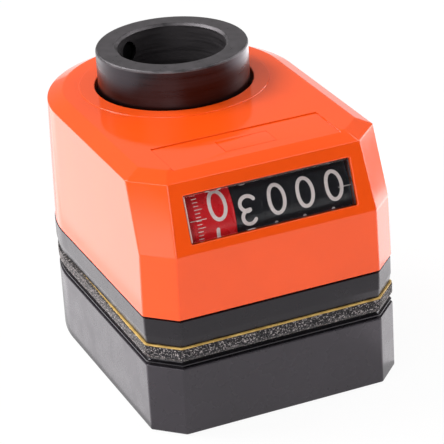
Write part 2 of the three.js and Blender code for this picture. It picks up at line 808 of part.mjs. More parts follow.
// A digit drum about Z: band, web, boss, a recess for the next pinion, and teeth on its left side
function digitDrum(number) {
  const width = number === 1 ? redBand : blackBand;
  const bore = counterShaftRadius + shaftGap;
  const webRight = width - rightRecess;
  const bossStart = number === 1 ? -(redGearGap + redGearWidth) : 0;
  const bossEnd = number === 5 ? width + cheekClearance : webRight;
  const band = turned([
    [bore, 0], [drumRadius, 0], [drumRadius, width],
    [recessRadius, width], [recessRadius, webRight], [bore, webRight],
  ], drumFacets);
  const notch = block(notchWidth, notchDepth + overrun, rightRecess + overrun,
    0, recessRadius + (notchDepth - overrun) / 2, webRight + (rightRecess + overrun) / 2);
  const drum = cut(join(band, tube(bore, drumBoss, bossStart, bossEnd, drumFacets)), notch);
  if (number === 1) {
    const gearTurn = meshAngle + Math.PI + Math.PI / redGearTeeth;
    const gear = spurGear(redSpur, bossStart, bossStart + redGearWidth, gearTurn);
    return join(drum, cut(gear, disc(bore, bossStart - overrun, overrun, drumFacets)));
  }
  const kept = disc(drumBoss, -2 * overrun, leftRecess + overrun, drumFacets);
  return cut(drum, cut(spurGear(carrySpace, -overrun, leftRecess), kept));
}

// Plate between two drums: it sits on the shaft's flat and carries the pinion on a stub
const plateBack = drumGap / 2 + rightRecess - sideGap;
const pinionStart = plateThickness + shaftGap - plateBack;
const pinionEnd = drumGap / 2 + leftRecess - sideGap;

function flattedRound(radius, flat, bottom, top) {
  const far = 2 * radius;
  const beyond = block(far, 2 * far, 2 * (top - bottom), flat + radius, 0, (top + bottom) / 2);
  return cut(disc(radius, bottom, top), beyond);
}

function carryPlate() {
  const plateRight = plateThickness - plateBack;
  return cut(
    join(
      disc(plateRadius, -plateBack, plateRight, drumFacets),
      disc(drumBoss, -plateBack, (drumGap - shaftGap) / 2, drumFacets),
      disc(stubRadius, -plateBack, pinionEnd).translate([pinionOffset, 0, 0]),
    ),
    flattedRound(counterShaftRadius + shaftGap, shaftFlat + shaftGap, -plateBack - overrun, overrun),
  );
}

function transferPinion() {
  const bore = disc(stubRadius + shaftGap, -plateBack, pinionEnd + overrun);
  return cut(spurGear(carryPinion, pinionStart, pinionEnd), bore);
}

function idlerPinion() {
  return cut(
    spurGear(idlerSpur, 0, redGearWidth, meshAngle),
    disc(idlerShaftRadius + shaftGap, -overrun, redGearWidth + overrun),
  );
}

function idlerHelicalGear() {
  const toothed = helicalGear(helicalPinion, helicalPinionLength, pinionLayers, Math.PI / helicalPinionTeeth);
  return cut(toothed, disc(idlerShaftRadius + shaftGap, -helicalPinionLength, helicalPinionLength));
}

const leftCheekX = redGearLeft - cheekClearance - frameSheet;
const rightCheekX = drumBandRight + rightCheekGap;

// Bracket that carries the shafts: two cheeks, a sole between them and a stand for the idler shaft
function counterFrame() {
  const soleTop = floorTop + frameSheet;
  const crown = drumAxisHeight + cheekCrown;
  const front = drumAxisReach + cheekCrown;
  const rear = drumAxisReach - cheekCrown;
  const leftCheek = sidePlate([
    [-frameFrontReach, floorTop], [-frameRearReach, floorTop], [-cheekRearReach, idlerHeight - idlerBearing],
    [-cheekRearReach, idlerHeight + idlerBearing], [-rear, crown - idlerBearing], [-drumAxisReach, crown],
    [-front, drumAxisHeight],
  ], leftCheekX, leftCheekX + frameSheet);
  const rightCheek = sidePlate([
    [-frameFrontReach, floorTop], [-frameRearReach, floorTop], [-rear, crown - idlerBearing],
    [-drumAxisReach, crown], [-front, drumAxisHeight],
  ], rightCheekX, rightCheekX + frameSheet);
  const soleX = (rightCheekX + frameSheet + leftCheekX) / 2;
  const soleY = -(frameFrontReach + frameRearReach) / 2;
  const sole = block(rightCheekX - leftCheekX, frameFrontReach - frameRearReach, frameSheet,
    soleX, soleY, floorTop + frameSheet / 2);
  const standRear = idlerReach - idlerBearing;
  const standFront = idlerReach + idlerBearing;
  const stand = sidePlate([
    [-frameRearReach - frameSheet, floorTop], [-standRear, floorTop],
    [-standRear, idlerHeight + idlerBearing], [-standFront, idlerHeight + idlerBearing],
    [-standFront, idlerHeight - idlerBearing],
    [-frameRearReach - frameSheet, soleTop + frameSheet],
  ], bracketX, bracketX + frameSheet);
  const pinHoleRadius = pinRadius + pinBossWall + lipClearance;
  const pinHole = disc(pinHoleRadius, floorTop - overrun, soleTop + overrun).translate([0, -pinReach, 0]);
  const fromX = leftCheekX - overrun;
  const toX = rightCheekX + frameSheet + overrun;
  return cut(
    join(leftCheek, rightCheek, sole, stand),
    crossBore(counterShaftRadius + shaftGap, fromX, toX, drumAxisReach, drumAxisHeight),
    crossBore(idlerShaftRadius + shaftGap, fromX, bracketX + frameSheet + overrun, idlerReach, idlerHeight),
    pinHole,
    ...standAt(frameScrewPlaces, () => disc(
      frameScrewRadius + screwClearance, floorTop - overrun, soleTop + overrun, screwFacets,
    )),
  );
}

// Scene graph
const indicator = new THREE.Group();
const fromHubAxis = new THREE.Group();
fromHubAxis.position.set(0, hubAxisY, 0);
indicator.add(fromHubAxis);

function addPart(name, solid, material, x = 0, y = 0, z = 0) {
  const mesh = new THREE.Mesh(geometryOf(solid), material);
  mesh.name = name;
  mesh.position.set(x, y, z);
  fromHubAxis.add(mesh);
  return mesh;
}

// A piece built about Z that lies along X in the machine
function addLyingPart(name, solid, material, x, reach, height) {
  const mesh = addPart(name, solid, material, x, -reach, height);
  mesh.quaternion.setFromRotationMatrix(sideways);
}

addPart('upper_housing', upperHousing(), orangePlastic);
addPart('window_lens', windowLens(), clearPlastic);
addPart('hub_sleeve', hubSleeve(), blackenedSteel);
addPart('hub_set_screw', hubSetScrew(), brightSteel);
addPart('drive_gear', driveGear(), brass);
addPart('hub_retaining_ring', retainingRing(), brightSteel);
addPart('upper_bush', tube(hubRadius + runningGap, bushOuter, upperBushBottom, upperBushTop), bearingPlastic);
addPart('upper_seal', tube(hubRadius + runningGap, bushOuter, sealTop - upperSealHeight, sealTop), rubber);
const journalBore = hubJournalRadius + runningGap;
addPart('lower_bush', tube(journalBore, lowerBushOuter, lowerBushBottom, lowerBushTop), bearingPlastic);
const lowerSealBottom = lowerSealTop - lowerSealHeight;
addPart('lower_seal', tube(journalBore, lowerSealOuter, lowerSealBottom, lowerSealTop), rubber);
addPart('lower_case', lowerCase(), blackPlastic);
addPart('gasket_film', gasketFilm(), adhesiveFilm);
addPart('foam_gasket', foamGasket(), foam);
addPart('base_cover', baseCover(), blackPlastic);
addPart('base_body', baseBody(), blackPlastic);
addPart('torque_pin', disc(pinRadius, pinBottom, pinTop), brightSteel, 0, -pinReach);
addPart('counter_frame', counterFrame(), brightSteel);

const clip = () => tube(counterShaftRadius + grooveClearance, clipRadius, 0, clipThickness, shaftFacets);
const leftClipX = leftCheekX - clipGap - clipThickness;
const rightClipX = rightCheekX + frameSheet + clipGap;
const counterShaft = flattedRound(
  counterShaftRadius, shaftFlat, leftClipX - shaftOverhang, rightClipX + clipThickness + shaftOverhang,
);
addLyingPart('counter_shaft', counterShaft, brightSteel, 0, drumAxisReach, drumAxisHeight);
addLyingPart('shaft_clip_left', clip(), brightSteel, leftClipX, drumAxisReach, drumAxisHeight);
addLyingPart('shaft_clip_right', clip(), brightSteel, rightClipX, drumAxisReach, drumAxisHeight);
const idlerEnd = bracketX + frameSheet + shaftOverhang;
const idlerShaft = disc(idlerShaftRadius, leftClipX, idlerEnd);
addLyingPart('idler_shaft', idlerShaft, brightSteel, 0, idlerReach, idlerHeight);
addLyingPart('idler_helical_gear', idlerHelicalGear(), gearPlastic, 0, idlerReach, idlerHeight);
addLyingPart('idler_pinion', idlerPinion(), gearPlastic, redGearLeft, idlerReach, idlerHeight);

for (let number = 1; number <= 5; number += 1) {
  const material = number === 1 ? redPlastic : drumPlastic;
  const left = drumLeft(number);
  addLyingPart(`digit_drum_${number}`, digitDrum(number), material, left, drumAxisReach, drumAxisHeight);
}
for (let number = 1; number <= 4; number += 1) {
  const boundary = drumLeft(number + 1) - drumGap / 2;
  addLyingPart(`carry_plate_${number}`, carryPlate(), gearPlastic, boundary, drumAxisReach, drumAxisHeight);
  addLyingPart(`transfer_pinion_${number}`, transferPinion(), gearPlastic,
    boundary, drumAxisReach - pinionOffset, drumAxisHeight);
}

caseScrewPlaces.forEach(([x, y], i) => {
  const whole = screw(caseScrewRadius, caseScrewHead, caseScrewHeadHeight, caseScrewLength, true);
  addPart(`case_screw_${i + 1}`, whole, brightSteel, x, y, caseBottom + caseScrewHeadHeight);
});
baseScrewPlaces.forEach(([x, y], i) => {
  const headTop = baseScrewSink + baseScrewHeadHeight;
  const whole = screw(baseScrewRadius, baseScrewHead, baseScrewHeadHeight, baseScrewTop - headTop, true);
  addPart(`base_screw_${i + 1}`, whole, brightSteel, x, y, headTop);
});
frameScrewPlaces.forEach(([x, y], i) => {
  const length = frameSheet + frameScrewDepth;
  const whole = screw(frameScrewRadius, frameScrewHead, frameScrewHeadHeight, length, false);
  addPart(`frame_screw_${i + 1}`, whole, brightSteel, x, y, floorTop + frameSheet);
});

export default indicator;
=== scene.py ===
import math

import bmesh
import bpy
from mathutils import Matrix, Vector, noise


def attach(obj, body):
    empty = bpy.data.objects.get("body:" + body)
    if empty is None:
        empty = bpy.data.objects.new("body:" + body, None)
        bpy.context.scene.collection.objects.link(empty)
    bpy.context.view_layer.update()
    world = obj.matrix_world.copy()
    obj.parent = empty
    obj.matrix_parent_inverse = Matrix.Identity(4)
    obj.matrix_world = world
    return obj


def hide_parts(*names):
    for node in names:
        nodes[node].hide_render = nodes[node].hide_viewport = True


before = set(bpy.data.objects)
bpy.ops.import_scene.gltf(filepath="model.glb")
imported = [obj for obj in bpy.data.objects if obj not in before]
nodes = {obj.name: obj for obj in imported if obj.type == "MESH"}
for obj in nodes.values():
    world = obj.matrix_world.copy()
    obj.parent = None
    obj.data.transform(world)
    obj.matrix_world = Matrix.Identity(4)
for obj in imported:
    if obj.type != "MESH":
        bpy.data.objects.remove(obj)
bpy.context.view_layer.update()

MM = 0.001
ROOT2 = math.sqrt(2)
SMOOTH_ANGLE = 32

# Drums; the housing's slope and roof follow the height of their axis
DRUM_RADIUS = 10.2
DRUM_Y = -20.75
DRUM_Z = 34.896289
DRUM_SEGMENTS = 144
FLANGE_END = -18.2
DRUM_BANDS = {
    1: (-16.0, -6.44), 2: (-6.36, -1.01), 3: (-0.93, 4.42), 4: (4.5, 9.85), 5: (9.93, 15.5),
}

# The body; its front and its half-round rear are measured from the hub's axis at HUB_Y
HUB_Y = 9.85
BODY_HALF = 24.0
FRONT_REACH = 43.7
FRONT_CHAMFER = 4.85
CORNER_RADIUS = 0.7
CORNER_STEPS = 4
REAR_STEPS = 72
HOUSING_BOTTOM = 22.4
SLOPE_BOTTOM = DRUM_Z - 0.75
BEVEL_BOTTOM = SLOPE_BOTTOM + 11.9
HOUSING_TOP = BEVEL_BOTTOM + 1.4
BEVEL_INSET = 2.95
SLOPE_SETBACK = 4.1
SLOPE_ANGLE = math.atan2(SLOPE_SETBACK, BEVEL_BOTTOM - SLOPE_BOTTOM)
SIDE_DRAFT = 0.5
SLOPE_DRAFT = SIDE_DRAFT * (SLOPE_BOTTOM - HOUSING_BOTTOM) / (BEVEL_BOTTOM - HOUSING_BOTTOM)
TOP_CHAMFER = 5.45
# What the outline becomes at the upper end of the slope
UPPER_SHAPE = {
    "front": FRONT_REACH - SLOPE_SETBACK, "half": BODY_HALF - SIDE_DRAFT, "chamfer": TOP_CHAMFER,
}

# Hub, its hole in the roof and the low pad round it
HUB_BORE = 10.0
HUB_RADIUS = 14.0
HUB_TOP = HOUSING_TOP + 7.35
HUB_HOLE = 14.6
HOLE_EDGE = 0.28
PAD_RADIUS = 17.6
PAD_EDGE = 0.13
PAD_TOP = HOUSING_TOP + 0.15

# Layers below the housing
BASE_TOP = 12.95
FOAM_BOTTOM = 14.25
FOAM_TOP = 16.7
CASE_BOTTOM = 17.0
CASE_TOP = 22.0


# Mesh building
def linked(name, data):
    """A new object in the scene that holds the data."""
    obj = bpy.data.objects.new(name, data)
    bpy.context.scene.collection.objects.link(obj)
    return obj


def mesh_piece(name, verts, faces):
    """An object from points in millimetres, with its faces turned outward."""
    mesh = bpy.data.meshes.new(name)
    mesh.from_pydata([tuple(v) for v in verts], [], faces)
    work = bmesh.new()
    work.from_mesh(mesh)
    bmesh.ops.recalc_face_normals(work, faces=work.faces)
    work.to_mesh(mesh)
    work.free()
    return linked(name, mesh)


def bend(start, corner, end, t):
    """A point on the curve that rounds a corner, from start at 0 to end at 1."""
    return start * (1 - t) ** 2 + corner * (2 * t * (1 - t)) + end * t ** 2


def outline(z, inset=0.0, front=FRONT_REACH, half=BODY_HALF, chamfer=FRONT_CHAMFER):
    """The body's ring at a height: chamfered front corners with softened edges, half-round rear."""
    side = half - inset
    front_y = inset - front
    leg = chamfer - inset * (2 - ROOT2)
    sharp = [
        Vector((-side, 0)), Vector((-side, front_y + leg)), Vector((leg - side, front_y)),
        Vector((side - leg, front_y)), Vector((side, front_y + leg)), Vector((side, 0)),
    ]
    tangent = CORNER_RADIUS * math.tan(math.pi / 8)
    points = []
    for before, here, after in zip(sharp, sharp[1:], sharp[2:]):
        start = here + (before - here).normalized() * tangent
        end = here + (after - here).normalized() * tangent
        points += [bend(start, here, end, step / CORNER_STEPS) for step in range(CORNER_STEPS + 1)]
    for step in range(REAR_STEPS + 1):
        angle = math.pi * step / REAR_STEPS
        points.append(Vector((side * math.cos(angle), side * math.sin(angle))))
    return [Vector((p.x, p.y + HUB_Y, z)) for p in points]


def softened(rings, reaches):
    """Rounds a stack of rings' creases: reaches says how far each inner ring's curve extends."""
    result = [rings[0]]
    for index, reach in enumerate(reaches, start=1):
        low, here, high = rings[index - 1:index + 2]
        if reach == 0:
            result.append(here)
            continue
        for step in range(CORNER_STEPS + 1):
            level = []
            for a, b, c in zip(low, here, high):
                start = b + (a - b).normalized() * reach
                end = b + (c - b).normalized() * reach
                level.append(bend(start, b, end, step / CORNER_STEPS))
            result.append(level)
    result.append(rings[-1])
    return result


def loft(name, rings):
    """A closed solid through rings with equal point counts."""
    count = len(rings[0])
    verts = [p for ring in rings for p in ring]
    faces = []
    for level in range(len(rings) - 1):
        for i in range(count):
            a = level * count + i
            b = level * count + (i + 1) % count
            faces.append((a, b, b + count, a + count))
    faces.append(tuple(reversed(range(count))))
    faces.append(tuple(range(len(verts) - count, len(verts))))
    return mesh_piece(name, verts, faces)


def circle(radius, z, x=0.0, y=HUB_Y, segments=96):
    ring = []
    for i in range(segments):
        angle = 2 * math.pi * i / segments
        ring.append(Vector((x + radius * math.cos(angle), y + radius * math.sin(angle), z)))
    return ring


def turned_solid(name, profile, x=0.0, y=HUB_Y, segments=96):
    """A solid of revolution about a vertical line from [radius, height] pairs, bottom to top."""
    return loft(name, [circle(r, z, x, y, segments) for r, z in profile])


def turned_tube(name, profile, x=0.0, y=HUB_Y, segments=96):
    """A ring about a vertical line from a closed profile that runs counter-clockwise."""
    count = len(profile)
    verts = [p for r, z in profile for p in circle(r, z, x, y, segments)]
    faces = []
    for k in range(count):
        here, following = k * segments, ((k + 1) % count) * segments
        for i in range(segments):
            j = (i + 1) % segments
            faces.append((here + i, here + j, following + j, following + i))
    return mesh_piece(name, verts, faces)


def moved(obj, matrix):
    obj.data.transform(matrix)
    return obj


def copy_of(node):
    """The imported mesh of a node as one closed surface, in millimetres."""
    mesh = nodes[node].data.copy()
    mesh.materials.clear()
    mesh.transform(nodes[node].matrix_world)
    mesh.transform(Matrix.Scale(1 / MM, 4))
    work = bmesh.new()
    work.from_mesh(mesh)
    bmesh.ops.remove_doubles(work, verts=work.verts, dist=0.0005)
    work.to_mesh(mesh)
    work.free()
    return linked("copy", mesh)


def discard(obj):
    spare = obj.data
    bpy.data.objects.remove(obj)
    bpy.data.meshes.remove(spare)


def carve(obj, *steps):
    """Joins, cuts or clips obj with other solids, which are used up."""
    for operation, other in steps:
        mod = obj.modifiers.new(operation.lower(), "BOOLEAN")
        mod.operation = operation
        mod.solver = "MANIFOLD"
        mod.object = other
    bpy.context.view_layer.update()
    graph = bpy.context.evaluated_depsgraph_get()
    mesh = bpy.data.meshes.new_from_object(obj.evaluated_get(graph))
    old = obj.data
    obj.modifiers.clear()
    obj.data = mesh
    bpy.data.meshes.remove(old)
    for _, other in steps:
        discard(other)
    return obj


def dressed(shell, node, room, core_limit):
    """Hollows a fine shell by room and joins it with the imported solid, clipped to lie inside it."""
    carve(shell, ("DIFFERENCE", room))
    core = carve(copy_of(node), ("INTERSECT", core_limit))
    return carve(shell, ("UNION", core))


def slab(inset, low, high):
    """A block in the body's outline, to hollow or to clip with."""
    return loft("slab", [outline(low, inset), outline(high, inset)])


def painted(obj, materials, choose):
    """Gives each face one of several materials; choose picks it by the face's middle."""
    obj.data.materials.clear()
    for material in materials:
        obj.data.materials.append(material)
    for face in obj.data.polygons:
        face.material_index = choose(face.center)


def finished(obj, name, body, slot, material, *replaced, smooth_angle=SMOOTH_ANGLE):
    """Scales a piece to metres, shades it and ties it to the frame; None keeps its materials."""
    obj.name = name
    obj.data.name = name
    obj.data.transform(Matrix.Scale(MM, 4))
    if material is not None:
        obj.data.materials.clear()
        obj.data.materials.append(material)
    obj.data.shade_smooth()
    obj.data.set_sharp_from_angle(angle=math.radians(smooth_angle))
    normals = obj.modifiers.new("normals", "WEIGHTED_NORMAL")
    normals.keep_sharp = True
    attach(obj, body)
    if replaced:
        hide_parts(*replaced)


# Materials; noise scales are per metre, and heights of bumps are in metres
class Paint:
    """A node material around one Principled shader, whose sockets the keywords set."""

    def __init__(self, name, **sockets):
        self.material = bpy.data.materials.new(name)
        self.material.use_nodes = True
        self.tree = self.material.node_tree
        self.shader = self.tree.nodes["Principled BSDF"]
        self.output = self.tree.nodes["Material Output"]
        for socket, value in sockets.items():
            self.shader.inputs[socket.replace("_", " ")].default_value = value
        self.place = self.node("ShaderNodeTexCoord").outputs["Object"]

    def node(self, kind, **settings):
        made = self.tree.nodes.new(kind)
        for key, value in settings.items():
            setattr(made, key, value)
        return made

    def link(self, source, target):
        self.tree.links.new(source, target)

    def scaled(self, stretch):
        mapping = self.node("ShaderNodeMapping")
        mapping.inputs["Scale"].default_value = stretch
        self.link(self.place, mapping.inputs["Vector"])
        return mapping.outputs["Vector"]

    def noise(self, scale, detail=3.0, stretch=(1, 1, 1)):
        made = self.node("ShaderNodeTexNoise")
        made.inputs["Scale"].default_value = scale
        made.inputs["Detail"].default_value = detail
        self.link(self.scaled(stretch), made.inputs["Vector"])
        return made.outputs["Fac"]

    def ramp(self, source, *stops):
        made = self.node("ShaderNodeValToRGB")
        elements = made.color_ramp.elements
        while len(elements) > len(stops):
            elements.remove(elements[-1])
        while len(elements) < len(stops):
            elements.new(1.0)
        for element, (position, color) in zip(elements, stops):
            element.position = position
            element.color = (*color, 1)
        self.link(source, made.inputs["Fac"])
        return made.outputs["Color"]

    def levels(self, source, low, high, start=0.3, end=0.7):
        """Spreads a noise, which lies mostly between start and end, from low to high."""
        made = self.node("ShaderNodeMapRange")
        made.inputs["From Min"].default_value = start
        made.inputs["From Max"].default_value = end
        made.inputs["To Min"].default_value = low
        made.inputs["To Max"].default_value = high
        self.link(source, made.inputs["Value"])
        return made.outputs["Result"]

    def color(self, source):
        self.link(source, self.shader.inputs["Base Color"])

    def roughness(self, source):
        self.link(source, self.shader.inputs["Roughness"])

    def bump(self, source, distance, strength=1.0):
        made = self.node("ShaderNodeBump")
        made.inputs["Strength"].default_value = strength
        made.inputs["Distance"].default_value = distance
        self.link(source, made.inputs["Height"])
        self.link(made.outputs["Normal"], self.shader.inputs["Normal"])

    def mixed(self, share, other):
        """Blends the surface towards another shader by a share."""
        mix = self.node("ShaderNodeMixShader")
        self.link(share, mix.inputs["Fac"])
        self.link(self.shader.outputs["BSDF"], mix.inputs[1])
        self.link(other, mix.inputs[2])
        self.link(mix.outputs["Shader"], self.output.inputs["Surface"])


def plastic(name, base, rough, spread=0.04, grain=900, grain_height=0.000004, **sockets):
    """Moulded plastic: a faint cloud in the colour, roughness that varies and a fine skin."""
    cloud_scale, gloss_scale = 60, 240
    paint = Paint(name, **sockets)
    darker = tuple(c * (1 - spread) for c in base)
    lighter = tuple(min(1, c * (1 + spread)) for c in base)
    paint.color(paint.ramp(paint.noise(cloud_scale), (0.35, darker), (0.65, lighter)))
    paint.roughness(paint.levels(paint.noise(gloss_scale), rough * 0.85, rough * 1.2))
    paint.bump(paint.noise(grain), grain_height, 0.5)
    return paint.material


def metal(name, dark, light, rough, stretch=(1, 1, 1), scale=500, bump=0.000002):
    """Machined metal: streaks in colour and roughness along the tool's marks."""
    paint = Paint(name, Metallic=1.0)
    streak = paint.noise(scale, 4.0, stretch)
    paint.color(paint.ramp(streak, (0.3, dark), (0.7, light)))
    paint.roughness(paint.levels(streak, rough * 0.8, rough * 1.25))
    paint.bump(streak, bump, 0.6)
    return paint.material


DARK = {"spread": 0.12, "grain": 2600, "Specular_Tint": (1.0, 0.95, 1.0, 1)}
orange = plastic("orange_plastic", (0.87, 0.082, 0.006), rough=0.09, spread=0.03, grain=1400,
                 grain_height=0.0000015, IOR=1.5)
black = plastic("black_plastic", (0.020, 0.017, 0.022), rough=0.27, grain_height=0.0000025,
                IOR=1.54, **DARK)
black_rim = plastic("black_plastic_rim", (0.010, 0.009, 0.011), rough=0.24, IOR=1.54, **DARK)
black_case = plastic("black_plastic_case", (0.008, 0.007, 0.009), rough=0.25, IOR=1.43, **DARK)
red_drum = plastic("red_drum_plastic", (0.58, 0.005, 0.010), rough=0.26, spread=0.06)
black_drum = plastic("black_drum_plastic", (0.006, 0.006, 0.008), rough=0.22, spread=0.10)
# Dark red on the lens's clear side walls: painted shade with a painted red reflection
painted_lens_wall_shade = plastic("painted_lens_wall_shade", (0.090, 0.012, 0.012), rough=0.3, spread=0.1)
# Pale colour on the lens's left edge rounding: a painted highlight
painted_lens_highlight = plastic("painted_lens_highlight", (0.66, 0.49, 0.45), rough=0.3, spread=0.05)
numeral = plastic("numeral_print", (0.70, 0.62, 0.60), rough=0.5, spread=0.05)
gear_plastic = plastic("gear_plastic", (0.70, 0.66, 0.56), rough=0.42, spread=0.05)
bearing = plastic("bearing_plastic", (0.76, 0.72, 0.64), rough=0.38)
rubber = plastic("seal_rubber", (0.014, 0.014, 0.014), rough=0.62, spread=0.2, grain=2200,
                 grain_height=0.000008)

# The hub's streaks run round it, so the noise is stretched across its axis
burnished = metal("burnished_steel", (0.031, 0.028, 0.031), (0.046, 0.042, 0.046), rough=0.31,
                  stretch=(0.06, 0.06, 1), scale=1100, bump=0.0000006)
# The top ring is painted several times lighter than the outside: painted light on the hub's top face
painted_light_steel_face = metal("steel_face_painted_light", (0.136, 0.123, 0.135), (0.190, 0.173, 0.188),
                       rough=0.34, scale=700)
bore_steel = metal("burnished_steel_bore", (0.085, 0.078, 0.083), (0.100, 0.092, 0.097),
                   rough=0.6, stretch=(0.15, 0.15, 2), scale=900, bump=0.0000005)
# A paler steel for the rounded edges beside the top ring
pale_edge_steel = metal("pale_steel_edge", (0.07, 0.066, 0.07), (0.16, 0.149, 0.157), rough=0.52, scale=420)
bright = metal("bright_steel", (0.42, 0.42, 0.43), (0.62, 0.62, 0.63), rough=0.28,
               stretch=(1, 1, 0.2), scale=700)
dark_screw = metal("blackened_screw", (0.030, 0.030, 0.032), (0.07, 0.07, 0.074), rough=0.36)
brass = metal("brass", (0.50, 0.34, 0.13), (0.66, 0.47, 0.20), rough=0.30,
              stretch=(1, 1, 0.3), scale=600)

film_paint = Paint("yellow_film")
film_paint.color(film_paint.ramp(
    film_paint.noise(420),
    (0.3, (0.40, 0.24, 0.055)), (0.55, (0.62, 0.40, 0.11)), (0.8, (0.72, 0.52, 0.20))))
film_paint.roughness(film_paint.levels(film_paint.noise(800), 0.4, 0.65))
film_paint.bump(film_paint.noise(1500), 0.00002)

foam_paint = Paint("speckled_foam", Roughness=0.95, Sheen_Weight=0.18, Sheen_Roughness=0.4,
                   Sheen_Tint=(1.0, 0.93, 0.86, 1))
foam_speckle = foam_paint.noise(3800, 4.0)
foam_paint.color(foam_paint.ramp(
    foam_speckle, (0.41, (0.003, 0.003, 0.004)), (0.50, (0.016, 0.014, 0.018)),
    (0.57, (0.070, 0.064, 0.067)), (0.64, (0.40, 0.36, 0.355))))
foam_paint.bump(foam_speckle, 0.00008)

# The lens lets lamp light straight through
lens_paint = Paint("clear_plastic", Roughness=0.02, IOR=1.49, Transmission_Weight=1.0,
                   Base_Color=(0.985, 0.99, 0.992, 1))
lens_paint.bump(lens_paint.noise(120), 0.000002, 0.4)
lens_clear = lens_paint.node("ShaderNodeBsdfTransparent")
lens_clear.inputs["Color"].default_value = (0.97, 0.975, 0.98, 1)
lens_rays = lens_paint.node("ShaderNodeLightPath")
lens_paint.mixed(lens_rays.outputs["Is Shadow Ray"], lens_clear.outputs["BSDF"])


# Upper housing
def housing_outer():
    rings = [
        outline(HOUSING_BOTTOM, 0.6),
        outline(HOUSING_BOTTOM),
        outline(SLOPE_BOTTOM, half=BODY_HALF - SLOPE_DRAFT),
        outline(BEVEL_BOTTOM, **UPPER_SHAPE),
        outline(HOUSING_TOP, BEVEL_INSET, **UPPER_SHAPE),
        outline(HOUSING_TOP, BEVEL_INSET + 0.8, **UPPER_SHAPE),
    ]
    return loft("outer", softened(rings, [0.15, 0.3, 0.16, 0.22]))


def housing_inner(inset, *tops):
    """The housing's inside at an inset; tops gives height and further inset of its upper rings."""
    rings = [
        outline(HOUSING_BOTTOM - 1, inset),
        outline(SLOPE_BOTTOM, inset, half=BODY_HALF - SLOPE_DRAFT),
    ]
    return loft("inner", rings + [outline(z, inset + more, **UPPER_SHAPE) for z, more in tops])


def slope_frame():
    """Local axes of the window: x along the window, y into the wall, z up the slope."""
    middle = 5.65
    centre_y = HUB_Y - FRONT_REACH + middle * SLOPE_SETBACK / (BEVEL_BOTTOM - SLOPE_BOTTOM)
    place = Matrix.Translation((0, centre_y, SLOPE_BOTTOM + middle))
    return place @ Matrix.Rotation(-SLOPE_ANGLE, 4, "X")


def slope_ring(half_x, half_z, depth, corner=0.3):
    """A rounded rectangle in the slope's frame; depth is measured inwards from the wall's face."""
    ring = []
    for sx, sz, start in ((1, 1, 0), (-1, 1, 90), (-1, -1, 180), (1, -1, 270)):
        for step in range(CORNER_STEPS + 1):
            angle = math.radians(start + 90 * step / CORNER_STEPS)
            ring.append(Vector((sx * (half_x - corner) + corner * math.cos(angle), depth,
                                sz * (half_z - corner) + corner * math.sin(angle))))
    return ring


def rectangle(x0, x1, y0, y1, z):
    return [Vector((x0, y0, z)), Vector((x1, y0, z)), Vector((x1, y1, z)), Vector((x0, y1, z))]


def quarter(r, z, reach_r, reach_z, steps):
    """Profile points of a rounded edge about the centre r, z, from its side to its top."""
    angles = [math.pi / 2 * step / steps for step in range(1, steps + 1)]
    return [(r + reach_r * math.cos(a), z + reach_z * math.sin(a)) for a in angles]


housing = dressed(
    housing_outer(), "upper_housing", housing_inner(1.3, (BEVEL_BOTTOM - 1.2, 0)),
    housing_inner(0.6, (BEVEL_BOTTOM - 0.4, 0), (HOUSING_TOP - 0.5, BEVEL_INSET)))
pad_profile = [
    (PAD_RADIUS, HOUSING_TOP - 0.8), (PAD_RADIUS, PAD_TOP - PAD_EDGE),
    *quarter(PAD_RADIUS - PAD_EDGE, PAD_TOP - PAD_EDGE, PAD_EDGE, PAD_EDGE, 3),
]
hole_profile = [
    (HUB_HOLE, HOUSING_TOP - 5.0), (HUB_HOLE, PAD_TOP - HOLE_EDGE),
    *quarter(HUB_HOLE + HOLE_EDGE, PAD_TOP - HOLE_EDGE, -HOLE_EDGE, HOLE_EDGE, 4),
    (HUB_HOLE + HOLE_EDGE, PAD_TOP + 3),
]

# The label field is sunk into the roof and open to the front; its back and ends lean outward
CUT_TOP = HOUSING_TOP + 1.0
CUT_FRONT = -40.0
FIELD_HALF = 15.8
FIELD_BACK = -17.25
FIELD_FLOOR = HOUSING_TOP - 0.2
field = loft("field", [
    rectangle(-FIELD_HALF - lean, FIELD_HALF + lean, CUT_FRONT, FIELD_BACK + lean, z)
    for lean, z in ((0, FIELD_FLOOR), (0, HOUSING_TOP - 0.1),
                    (0.18, HOUSING_TOP + 0.05), (0.18, CUT_TOP))
])
# The plaque's cut ends level with the field's floor; the fine grooves below draw its outline
plaque = loft("plaque", [
    rectangle(-4.85, 4.85, -24.5, -19.9, z) for z in (FIELD_FLOOR, CUT_TOP)
])
GROOVE = 0.13


def grooves(half, front, back, depth, closed):
    """Cutters for fine grooves along a rectangle's back and ends, and its front where closed."""
    spans = [(-half, half, back - GROOVE, back)]
    if closed:
        spans.append((-half, half, front, GROOVE + front))
    spans += [(-half, GROOVE - half, front, back), (half - GROOVE, half, front, back)]
    solids = [loft("groove", [rectangle(*span, z) for z in (HOUSING_TOP - depth, CUT_TOP)])
              for span in spans]
    return [("DIFFERENCE", solid) for solid in solids]


# The window's hole: how far each ring stands outside the opening, and its depth
WINDOW_HALF_X = 15.7
WINDOW_HALF_Z = 4.225
WINDOW_RINGS = [
    (0.5, -0.5), (0.5, -0.02), (0.2, 0.0), (0.12, 0.015), (0.06, 0.055), (0.015, 0.12),
    (0.0, 0.2), (0.0, 5.0),
]
slope_place = slope_frame()
window = moved(loft("window", [
    slope_ring(WINDOW_HALF_X + more, WINDOW_HALF_Z + more, depth) for more, depth in WINDOW_RINGS
]), slope_place)
carve(
    housing, ("UNION", turned_solid("pad", pad_profile, segments=128)),
    ("DIFFERENCE", turned_solid("hub_hole", hole_profile, segments=128)),
    ("DIFFERENCE", field), ("DIFFERENCE", plaque), ("DIFFERENCE", window),
    *grooves(15.85, CUT_FRONT, -17.2, 0.28, closed=False),
    *grooves(4.9, -24.55, -19.85, 0.36, closed=True),
)
finished(housing, "orange_housing", "case", "orange_plastic", orange, "upper_housing")

